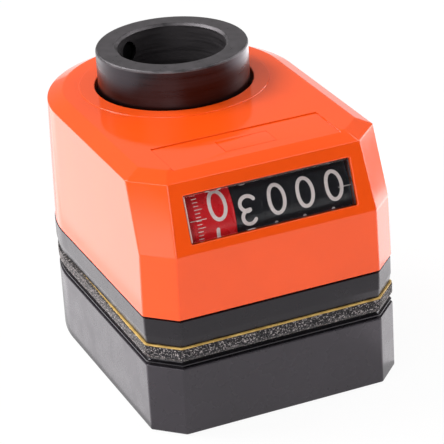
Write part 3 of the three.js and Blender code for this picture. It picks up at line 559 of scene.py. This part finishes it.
# Window lens: half width, half height and depth of each ring
LENS_RINGS = [
    (15.35, 3.87, 0.3), (15.45, 3.91, 0.33), (15.53, 4.0, 0.4), (15.55, 4.07, 0.5),
    (15.55, 4.07, 1.5),
]
LENS_BACK = LENS_RINGS[-1][2]
to_slope = slope_place.inverted()


def lens_finish(middle):
    """0 for the clear faces, 1 for the left edge's rounding, a pale painted highlight, 2 for the side
    walls, dark red painted shade and reflection.
    """
    spot = to_slope @ middle
    if spot.x < -15.36 and 0.3 < spot.y < 0.5:
        return 1
    return 2 if 0.6 < spot.y < 1.4 else 0


lens = moved(loft("lens", [slope_ring(*size, 0.25) for size in LENS_RINGS]), slope_place)
# The left edge's rounding gets a painted highlight, the side walls painted shade and reflection
painted(lens, (lens_paint.material, painted_lens_highlight, painted_lens_wall_shade), lens_finish)
finished(lens, "clear_lens", "case", "clear_plastic", None, "window_lens")

# Hub: radius and height of each point, up the outside and back to the bore
HUB_PROFILE = [
    (HUB_BORE, 17.2), (13.0, 17.2), (13.0, 22.1), (HUB_RADIUS, 22.1), (HUB_RADIUS, 22.61),
    (13.5, 22.61), (13.5, 23.41), (HUB_RADIUS, 23.41), (HUB_RADIUS, 28.76), (14.8, 28.76),
    (14.8, 38.15), (HUB_RADIUS, 38.15),
    (HUB_RADIUS, HUB_TOP - 0.45), (13.9, HUB_TOP - 0.2), (13.78, HUB_TOP - 0.06), (13.6, HUB_TOP),
    (10.5, HUB_TOP), (10.4, HUB_TOP - 0.05), (HUB_BORE, HUB_TOP - 0.45),
]


def hub_finish(middle):
    """0 for the outside, 1 for the top ring with painted light, 2 for the paler edges beside it, 3
    for the bore.
    """
    radius = math.hypot(middle.x, middle.y - HUB_Y)
    if middle.z > HUB_TOP - 0.01:
        return 1
    if middle.z > HUB_TOP - 0.44 and (radius > 13.5 or 10.02 < radius < 10.6):
        return 2
    return 3 if radius < 10.02 else 0


def screw_solid(name, profile, segments):
    """A solid of revolution about the set screw's axis; heights start at the hub's axis."""
    return moved(loft(name, [circle(r, z, 0, 0, segments) for r, z in profile]), screw_place)


# The set screw's axis: how far it lies below the hub's top, and its direction in degrees
SCREW_DROP = 3.6
SCREW_TURN = 123
screw_place = (
    Matrix.Translation((0, HUB_Y, HUB_TOP - SCREW_DROP))
    @ Matrix.Rotation(math.radians(SCREW_TURN), 4, "Z")
    @ Matrix.Rotation(math.pi / 2, 4, "Y"))
hub = turned_tube("hub", HUB_PROFILE, segments=160)
carve(hub, ("DIFFERENCE", screw_solid("hole", [(2.1, 9), (2.1, 15)], 48)))
# The top ring gets painted light; the edges beside it are paler
painted(hub, (burnished, painted_light_steel_face, pale_edge_steel, bore_steel), hub_finish)
finished(hub, "hub_barrel", "hub", "blackened_steel", None, "hub_sleeve")

set_screw = screw_solid("set_screw", [(1.7, 10.5), (2.0, 10.8), (2.0, 13.3), (1.8, 13.5)], 40)
carve(set_screw, ("DIFFERENCE", screw_solid("socket", [(1.2, 11.9), (1.2, 14.5)], 6)))
finished(set_screw, "clamping_screw", "hub", "bright_steel", dark_screw, "hub_set_screw")

# Digit drums; this carries a solid built about Z to the drums' shaft
drum_place = Matrix.Translation((0, DRUM_Y, DRUM_Z)) @ Matrix(
    ((0, 0, 1, 0), (1, 0, 0, 0), (0, 1, 0, 0), (0, 0, 0, 1)))


def drum_slot(number):
    return "red_plastic" if number == 1 else "drum_plastic"


def drum_envelope(number):
    """The drum's outside as a solid of revolution: softened edges and a fine groove near each."""
    left, right = DRUM_BANDS[number]
    rim, groove = DRUM_RADIUS, DRUM_RADIUS - 0.04
    edge = 0.03
    profile = [
        (rim - edge, left), (rim, left + edge),
        (rim, left + 0.3), (groove, left + 0.34), (rim, left + 0.38),
        (rim, right - 0.38), (groove, right - 0.34), (rim, right - 0.3),
        (rim, right - edge), (rim - edge, right),
    ]
    if number == 1:
        profile = [(12.0, FLANGE_END), (12.0, left - 0.1), *profile, (rim - 3, right)]
    solid = loft("envelope", [circle(r, x, 0, 0, DRUM_SEGMENTS) for r, x in profile])
    return moved(solid, drum_place)


def fine_drum(number):
    """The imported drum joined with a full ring, then cut back to the fine envelope."""
    left, right = DRUM_BANDS[number]
    ring_profile = [(9.2, left), (10.4, left), (10.4, right), (9.2, right)]
    ring = moved(turned_tube("ring", ring_profile, 0, 0, DRUM_SEGMENTS), drum_place)
    drum = carve(copy_of(f"digit_drum_{number}"), ("UNION", ring))
    left_end = FLANGE_END if number == 1 else left - 3
    inner_part = loft("inner_part", [circle(8.0, x, 0, 0) for x in (left_end, right + 3)])
    envelope = carve(drum_envelope(number), ("UNION", moved(inner_part, drum_place)))
    return carve(drum, ("INTERSECT", envelope))


for number in DRUM_BANDS:
    finished(
        fine_drum(number), f"number_wheel_{number}", f"drum_{number}", drum_slot(number),
        red_drum if number == 1 else black_drum, f"digit_drum_{number}")


# Numerals, drawn as strokes of even width
def arc(cx, cy, rx, ry, start, end, steps=16):
    """Points of an elliptic arc between two angles in degrees."""
    points = []
    for step in range(steps + 1):
        angle = math.radians(start + (end - start) * step / steps)
        points.append((cx + rx * math.cos(angle), cy + ry * math.sin(angle)))
    return points


def oval(cx, cy, rx, ry, power=2.0, steps=40):
    """Points of a closed ellipse, squarer where the power is above 2."""
    points = []
    for step in range(steps):
        angle = 2 * math.pi * step / steps
        c, s = math.cos(angle), math.sin(angle)
        points.append((cx + rx * math.copysign(abs(c) ** (2 / power), c),
                       cy + ry * math.copysign(abs(s) ** (2 / power), s)))
    return points


def half_turn(points):
    return [(-x, -y) for x, y in points]


# Half width and half height of a numeral
HX, HY = 1.41, 2.47
SIX_TAIL = [(-HX, -1.0), (-1.28, 0.1), (-0.95, 1.1), (-0.35, 1.9), (0.65, HY)]
SIX_LOOP = oval(0, -1.0, HX, 1.5)

# Each numeral: strokes as (points, closed)
GLYPHS = {
    0: [(oval(0, 0, HX, HY, 2.08, 56), True)],
    1: [([(-0.3, 1.6), (0.65, HY), (0.65, -HY)], False)],
    2: [(arc(0, 1.1, HX, 1.4, 165, -15)
         + [(-1.2, -2.0), (-HX, -HY), (-1.1, -HY), (HX, -HY)], False)],
    3: [(arc(-0.05, 1.19, 1.25, 1.24, 150, -90, 20) + [(-0.3, -0.05)], False),
        ([(-0.3, 0.03)] + arc(-0.05, -1.13, HX, 1.3, 90, -150, 20), False)],
    4: [([(0.45, HY), (-1.25, -0.75), (-HX, -1.0), (-1.1, -1.0), (HX, -1.0)], False),
        ([(0.6, 0.4), (0.6, -HY)], False)],
    5: [([(1.15, HY), (-0.75, HY), (-1.0, HY), (-1.03, 2.25), (-1.15, 0.3)]
         + arc(0, -0.85, HX, 1.65, 125, -150, 20), False)],
    6: [(SIX_LOOP, True), (SIX_TAIL, False)],
    7: [([(-HX, HY), (1.0, HY), (HX, HY), (1.25, 2.2), (-0.35, -HY)], False)],
    8: [(oval(0, 1.2, 1.15, 1.3), True), (oval(0, -1.1, HX, 1.4), True)],
    9: [(half_turn(SIX_LOOP), True), (half_turn(SIX_TAIL), False)],
}


def resampled(points, closed, spacing=0.2):
    """Points at an even spacing along a line."""
    line = [Vector(p) for p in points]
    if closed:
        line.append(line[0])
    lengths = [(b - a).length for a, b in zip(line, line[1:])]
    total = sum(lengths)
    count = max(2, round(total / spacing))
    result = []
    for step in range(count if closed else count + 1):
        target = total * step / count
        index = 0
        while index < len(lengths) - 1 and target > lengths[index]:
            target -= lengths[index]
            index += 1
        share = min(1, target / lengths[index]) if lengths[index] else 0
        result.append(line[index].lerp(line[index + 1], share))
    return result


# Print: how deep a mark reaches into what carries it, how far it stands proud, and line widths
PRINT_LOW = -0.08
PRINT_HIGH = 0.03
NUMERAL_STROKE = 0.66
FINE_STROKE = 0.13
END_ANGLES = (0.35, 0.7, 1.1, 1.45)


def stroke_solid(strokes, width, low=PRINT_LOW, high=PRINT_HIGH):
    """Flat ribbons with round ends, as closed solids between two heights."""
    verts, faces = [], []
    for points, closed in strokes:
        line = resampled(points, closed)
        count = len(line)
        sections = []
        for i, here in enumerate(line):
            if closed:
                along = line[(i + 1) % count] - line[i - 1]
            else:
                along = line[min(i + 1, count - 1)] - line[max(i - 1, 0)]
            along.normalize()
            sections.append((here, along, width / 2))
        if not closed:
            (head, head_along, _), (tail, tail_along, _) = sections[0], sections[-1]
            sections = [
                (head - head_along * (width / 2 * math.sin(a)), head_along, width / 2 * math.cos(a))
                for a in reversed(END_ANGLES)
            ] + sections + [
                (tail + tail_along * (width / 2 * math.sin(a)), tail_along, width / 2 * math.cos(a))
                for a in END_ANGLES
            ]
        base = len(verts)
        for here, along, half in sections:
            side = Vector((-along.y, along.x)) * half
            one, other = here + side, here - side
            for point, z in ((one, high), (other, high), (other, low), (one, low)):
                verts.append(Vector((point.x, point.y, z)))
        total = len(sections)
        for i in range(total if closed else total - 1):
            a, b = base + 4 * i, base + 4 * ((i + 1) % total)
            for k in range(4):
                faces.append((a + k, a + (k + 1) % 4, b + (k + 1) % 4, b + k))
        if not closed:
            faces.append((base + 3, base + 2, base + 1, base))
            end = base + 4 * (total - 1)
            faces.append((end, end + 1, end + 2, end + 3))
    return mesh_piece("strokes", verts, faces)


def wrapped(obj, centre_x, centre_angle):
    """Lays a flat mark on a drum, upside down: its top points down the drum's front."""
    for vert in obj.data.vertices:
        radius = DRUM_RADIUS + vert.co.z
        angle = math.radians(centre_angle) - vert.co.y / DRUM_RADIUS
        vert.co = (
            centre_x - vert.co.x,
            DRUM_Y - radius * math.cos(angle),
            DRUM_Z + radius * math.sin(angle))
    return obj


def joined(objects):
    """One object from several, which are used up."""
    work = bmesh.new()
    for obj in objects:
        work.from_mesh(obj.data)
        discard(obj)
    mesh = bpy.data.meshes.new("joined")
    work.to_mesh(mesh)
    work.free()
    return linked("joined", mesh)


def glyph(digit, centre_x, centre_angle):
    first, *others = GLYPHS[digit]
    solid = stroke_solid([first], NUMERAL_STROKE)
    if others:
        carve(solid, ("UNION", stroke_solid(others, NUMERAL_STROKE)))
    return wrapped(solid, centre_x, centre_angle)


def tick_mark(tick, zero_angle):
    """One of the red drum's ticks, all of which end on one line; every fifth is longer."""
    reach = 0.68 if tick % 5 == 0 else 0.42
    bar = stroke_solid([([(-reach, 0), (reach, 0)], False)], FINE_STROKE)
    return wrapped(bar, TICK_LINE + reach, zero_angle - 360 / TICKS * tick)


# Drum, middle of its numerals, numeral that shows, that numeral's angle above the horizontal, and
# how many degrees the numeral before it stands further off than a tenth of a turn, as in the photo
READINGS = [
    (1, -9.25, 0, 31.3, 4.3), (2, -3.9, 3, 19.8, 5.0), (3, 1.6, 0, 24.1, 2.4),
    (4, 7.0, 0, 24.1, 2.4), (5, 12.5, 0, 24.1, 2.4),
]
# The same for the numeral after it, on every drum
NEXT_SPARE = 1.0
NUMERAL_TURN = 36
TICKS = 100
TICK_LINE = -13.5
for number, centre_x, shown, angle, previous_spare in READINGS:
    marks = []
    for digit in range(10):
        spare = {1: previous_spare, 9: -NEXT_SPARE}.get((shown - digit) % 10, 0)
        marks.append(glyph(digit, centre_x, angle - NUMERAL_TURN * (digit - shown) + spare))
    if number == 1:
        marks += [tick_mark(tick, angle) for tick in range(TICKS)]
    finished(
        joined(marks), f"wheel_{number}_numerals", f"drum_{number}", drum_slot(number), numeral)

# Index lines on the back of the lens: both ends and the height above the window's middle
INDEX_LINES = {"left": (-14.8, -11.9, -0.55), "right": (13.1, 15.4, -0.6)}
for side, (x0, x1, z0) in INDEX_LINES.items():
    line = stroke_solid([([(x0, 0), (x1, 0)], False)], FINE_STROKE, 0.0)
    for vert in line.data.vertices:
        vert.co = (vert.co.x, LENS_BACK + vert.co.z, z0 + vert.co.y)
    finished(moved(line, slope_place), f"index_line_{side}", "case", "clear_plastic", numeral)


# Lower case
def squarer(ring, reach):
    """Pushes a ring's rear half outward, most at 45 degrees, as the photo's left edge shows."""
    result = []
    for point in ring:
        out = Vector((point.x, point.y - HUB_Y, 0.0))
        turn = math.atan2(out.y, abs(out.x))
        push = reach * math.sin(2 * turn) if turn > 0 else 0.0
        result.append(point + out.normalized() * push)
    return result


case_rings = [
    squarer(outline(z, inset), 0.45) for z, inset in (
        (CASE_BOTTOM, 0.6), (CASE_BOTTOM, 0.44), (18.65, 0.18), (18.70, 0.15), (CASE_TOP, 0.15))
] + [outline(CASE_TOP, 0.65), outline(HOUSING_BOTTOM, 0.65)]
case = dressed(
    loft("case", softened(case_rings, [0.06, 0.0, 0.0, 0.12, 0.0])), "lower_case",
    slab(1.4, 16.5, 22.8),
    loft("limit", [outline(16, 1.0), outline(CASE_TOP - 0.1, 1.0), outline(CASE_TOP, 0.66),
                   outline(26, 0.66)]))
finished(case, "black_lower_case", "case", "black_plastic", black_case, "lower_case")


# Film, foam and cover plate
def resampled_ring(ring, spacing):
    return resampled([p.to_2d() for p in ring], True, spacing)


def outward(ring):
    """The directions out of a flat ring, one for each point."""
    result = []
    for i in range(len(ring)):
        along = ring[(i + 1) % len(ring)] - ring[i - 1]
        result.append(Vector((along.y, -along.x)).normalized())
    return result


def rough_band(bottom, top):
    """A ring-shaped band whose outer face is torn and pitted like cut foam."""
    spacing, levels = 0.33, 8
    pit_depth, tucked_in, belly = 0.256, -0.45, 0.04
    base = resampled_ring(outline(0), spacing)
    rings = []
    for level in range(levels + 1):
        z = bottom + (top - bottom) * level / levels
        bulge = tucked_in if level < 2 else belly * math.sin(math.pi * (level - 1) / levels)
        ring = []
        for point, out in zip(base, outward(base)):
            spot = Vector((point.x, point.y, z))
            wave = noise.noise(spot * 2.2) * 0.55 + noise.noise(spot * 5.3) * 0.45
            torn = point + out * (pit_depth * min(0.0, wave - 0.1) + bulge)
            ring.append(Vector((torn.x, torn.y, z)))
        rings.append(ring)
    return loft("band", rings)


def frayed_film():
    """The film's edge runs out thin and uneven between the foam and the case."""
    levels = [(FOAM_TOP, -0.8), (16.83, -0.2), (16.90, 1.0), (16.94, 1.0), (CASE_BOTTOM, -0.6)]
    spacing, lip_reach, lip_inset = 0.4, 0.2, 0.13
    left_x, draw_start_y, draw_length, most_drawn = -18, -22, 34, 3.9
    base = resampled_ring(outline(0), spacing)
    rings = []
    for z, reach in levels:
        ring = []
        for point, out in zip(base, outward(base)):
            spot = Vector((point.x, point.y, 0.0))
            # Down the left side the film draws back under the case and shows only here and there
            along_side = min(1.0, max(0.0, (point.y - draw_start_y) / draw_length))
            drawn_back = most_drawn * along_side if point.x < left_x else 0.0
            wave = (0.35 - drawn_back
                    + 0.7 * noise.noise(spot * 0.45) + 0.9 * noise.noise(spot * 1.7))
            lip = lip_reach * min(1.0, max(0.02 - drawn_back, wave)) - lip_inset
            edge = lip if reach > 0 else min(lip, lip_reach * reach)
            ring.append(Vector((point.x + out.x * edge, point.y + out.y * edge, z)))
        rings.append(ring)
    return loft("film", rings)


film = dressed(frayed_film(), "gasket_film", slab(2.0, 16, 18), slab(1.0, 16, 18))
finished(film, "yellow_gasket_film", "case", "adhesive_film", film_paint.material, "gasket_film")

foam = dressed(
    rough_band(FOAM_BOTTOM, FOAM_TOP), "foam_gasket", slab(3.0, 14, 17), slab(2.0, 14, 17))
finished(
    foam, "speckled_foam_seal", "case", "foam", foam_paint.material, "foam_gasket",
    smooth_angle=60)

cover_rings = [outline(z, inset) for z, inset in (
    (BASE_TOP, 0.75), (13.4, 0.75), (13.43, 0.28), (13.48, 0.2),
    (13.62, 0.2), (13.67, 0.28), (13.7, 0.9), (FOAM_BOTTOM, 0.9),
)]
cover = dressed(loft("cover", cover_rings), "base_cover", slab(3.0, 12, 15), slab(2.0, 12, 15))
finished(cover, "base_cover_plate", "case", "black_plastic", black_rim, "base_cover")


# Base block
def hole_from_below(radius, depth, x, y, edge=0.2, segments=64):
    """A round hole in the underside whose mouth is chamfered."""
    profile = [(radius + edge, -2.0), (radius + edge, 0.0), (radius, edge), (radius, depth)]
    return ("DIFFERENCE", turned_solid("hole_below", profile, x, y, segments))


BASE_SCREWS = [(-19.2, -2.15), (19.2, -2.15), (-6.5, 28.85), (6.5, 28.85)]
base_rings = [outline(0.0, 0.8), outline(0.0), outline(BASE_TOP), outline(BASE_TOP, 0.8)]
base_block = dressed(
    loft("base", softened(base_rings, [0.3, 0.25])), "base_body",
    slab(1.6, 2.0, 14.0), slab(0.8, 0.1, 13.1))
# The hub's passage, the pin's socket and the screws' holes
carve(
    base_block,
    hole_from_below(10.9, 12.0, 0, HUB_Y, 0.4, 128),
    hole_from_below(3.15, 6.0, 0, -20.15, 0.25),
    *(hole_from_below(2.45, 1.7, x, y) for x, y in BASE_SCREWS))
finished(base_block, "black_base_block", "case", "black_plastic", black, "base_body")


# Screws seen from below
def base_screw(x, y):
    profile = [(1.85, 0.4), (2.3, 0.62), (2.3, 1.7), (1.25, 1.7), (1.25, 20.9)]
    screw = turned_solid("screw", profile, x, y, 48)
    socket = turned_solid("socket", [(1.27, 0.2), (1.27, 1.25)], x, y, 6)
    return carve(screw, ("DIFFERENCE", socket))


for index, place in enumerate(BASE_SCREWS, start=1):
    finished(
        base_screw(*place), f"socket_screw_{index}", "case", "bright_steel", bright,
        f"base_screw_{index}")


# Nodes inside the case keep their meshes
def numbered(stem, count):
    return [f"{stem}_{index}" for index in range(1, count + 1)]


INNER = [
    (brass, ["drive_gear"]),
    (bearing, ["upper_bush", "lower_bush"]),
    (rubber, ["upper_seal", "lower_seal"]),
    (gear_plastic, ["idler_helical_gear", "idler_pinion", *numbered("carry_plate", 4),
                    *numbered("transfer_pinion", 4)]),
    (bright, ["hub_retaining_ring", "torque_pin", "counter_frame", "counter_shaft",
              "shaft_clip_left", "shaft_clip_right", "idler_shaft", *numbered("case_screw", 4),
              *numbered("frame_screw", 2)]),
]
for material, names in INNER:
    for name in names:
        for slot in nodes[name].material_slots:
            slot.material = material

# Floor: it glows white where a camera, mirror or lens ray meets it, and still takes a shadow
FLOOR_GLOW_SHARE = 0.93
floor_mesh = bpy.data.meshes.new("floor")
floor_mesh.from_pydata([(-4, -4, 0), (4, -4, 0), (4, 4, 0), (-4, 4, 0)], [], [(0, 1, 2, 3)])
floor = linked("floor", floor_mesh)
floor.location.z = -0.0002
floor_paint = Paint("floor", Roughness=0.9, Base_Color=(0.93, 0.93, 0.93, 1))
floor_glow = floor_paint.node("ShaderNodeEmission")
floor_glow.inputs["Color"].default_value = (1, 1, 1, 1)
floor_glow.inputs["Strength"].default_value = 1.0
floor_rays = floor_paint.node("ShaderNodeLightPath")
seen = floor_rays.outputs["Is Camera Ray"]
for ray in ("Is Glossy Ray", "Is Transmission Ray"):
    either = floor_paint.node("ShaderNodeMath", operation="MAXIMUM")
    floor_paint.link(seen, either.inputs[0])
    floor_paint.link(floor_rays.outputs[ray], either.inputs[1])
    seen = either.outputs["Value"]
share = floor_paint.node("ShaderNodeMath", operation="MULTIPLY")
share.inputs[1].default_value = FLOOR_GLOW_SHARE
floor_paint.link(seen, share.inputs[0])
floor_paint.mixed(share.outputs["Value"], floor_glow.outputs["Emission"])
floor_mesh.materials.append(floor_paint.material)

# World: dark in front of the object, brighter behind it
WORLD_FRONT = (0.045, 0.045, 0.05, 1)
WORLD_BACK = (0.39, 0.39, 0.385, 1)
world = bpy.data.worlds.new("studio")
bpy.context.scene.world = world
world.use_nodes = True
world_nodes = world.node_tree.nodes
world_links = world.node_tree.links
world_place = world_nodes.new("ShaderNodeTexCoord")
world_split = world_nodes.new("ShaderNodeSeparateXYZ")
world_range = world_nodes.new("ShaderNodeMapRange")
world_range.inputs["From Min"].default_value = -0.9
world_range.inputs["From Max"].default_value = 0.6
world_ramp = world_nodes.new("ShaderNodeValToRGB")
world_ramp.color_ramp.elements[0].color = WORLD_FRONT
world_ramp.color_ramp.elements[1].color = WORLD_BACK
world_links.new(world_place.outputs["Generated"], world_split.inputs["Vector"])
world_links.new(world_split.outputs["Y"], world_range.inputs["Value"])
world_links.new(world_range.outputs["Result"], world_ramp.inputs["Fac"])
world_links.new(world_ramp.outputs["Color"], world_nodes["Background"].inputs["Color"])

# Lamps, in metres
MIDDLE = (0, 0, 0.03)


def lamp(name, place, size, radiance, target=MIDDLE, size_y=None, tint=(1, 1, 1)):
    """A soft area lamp; radiance is how bright its face is, where white is 1."""
    data = bpy.data.lights.new(name, "AREA")
    data.shape = "RECTANGLE"
    data.size = size
    data.size_y = size_y or size
    data.color = tint
    data.energy = radiance * math.pi * data.size * data.size_y
    obj = linked(name, data)
    obj.location = place
    direction = Vector(target) - Vector(place)
    obj.rotation_euler = direction.to_track_quat("-Z", "Y").to_euler()
    obj.visible_camera = False


lamp("key_light", (-0.44, -0.32, 0.40), 0.38, 3.2)
lamp("top_light", (-0.35, 0.25, 0.52), 0.32, 12.0)
lamp("edge_light", (0.23, -0.225, 0.59), 0.19, 3.0)
lamp("front_light", (-0.30, -0.60, 0.17), 0.30, 3.4)
lamp("left_light", (-0.62, -0.06, 0.12), 0.30, 0.6)
lamp("right_light", (0.60, -0.10, 0.35), 0.34, 1.2)
lamp("low_left_light", (-0.56, -0.25, 0.035), 0.12, 2.2)
lamp("low_right_light", (0.28, 0.03, 0.07), 0.16, 4.5, target=(0, 0.03, 0.07))
lamp("fill_light", (0.40, 0.02, 0.50), 0.28, 3.0, target=(0.015, 0.012, 0.045))
lamp("back_light", (-0.46, 0.58, 0.46), 0.30, 1.8)


def table_light(name, x0, x1, y0, y1, radiance):
    """A lamp that lies on the floor beside the object, for its sides to mirror."""
    x, y = (x0 + x1) / 2, (y0 + y1) / 2
    lamp(name, (x, y, 0.0005), abs(x1 - x0), radiance, (x, y, 1.0), y1 - y0, (1, 0.955, 1))


table_light("left_near_table_light", -0.0245, -0.0410, -0.029, 0.25, 0.80)
table_light("left_far_table_light", -0.0415, -0.2450, -0.031, 0.27, 1.3)
table_light("right_near_table_light", 0.0245, 0.0620, -0.06, 0.06, 0.8)
table_light("right_mid_table_light", 0.0625, 0.0900, -0.07, 0.09, 1.6)
table_light("right_far_table_light", 0.0905, 0.1900, -0.07, 0.12, 3.2)

# Camera, solved from the photograph: its place in metres, its turns in degrees, its lens in mm
CAMERA_PLACE = (-0.151327, -0.377434, 0.215064)
CAMERA_AZIMUTH = -22.3295
CAMERA_ELEVATION = 25.3563
CAMERA_ROLL = -3.5549
CAMERA_LENS = 197.39
SENSOR_WIDTH = 36.0
camera_data = bpy.data.cameras.new("camera")
camera_data.lens = CAMERA_LENS
camera_data.sensor_width = SENSOR_WIDTH
camera_data.sensor_fit = "HORIZONTAL"
camera_data.clip_start = 0.01
camera = linked("camera", camera_data)
camera.matrix_world = (
    Matrix.Translation(CAMERA_PLACE)
    @ Matrix.Rotation(math.radians(CAMERA_AZIMUTH), 4, "Z")
    @ Matrix.Rotation(math.radians(90 - CAMERA_ELEVATION), 4, "X")
    @ Matrix.Rotation(math.radians(CAMERA_ROLL), 4, "Z")
)
bpy.context.scene.camera = camera
bpy.context.scene.view_settings.view_transform = "Standard"
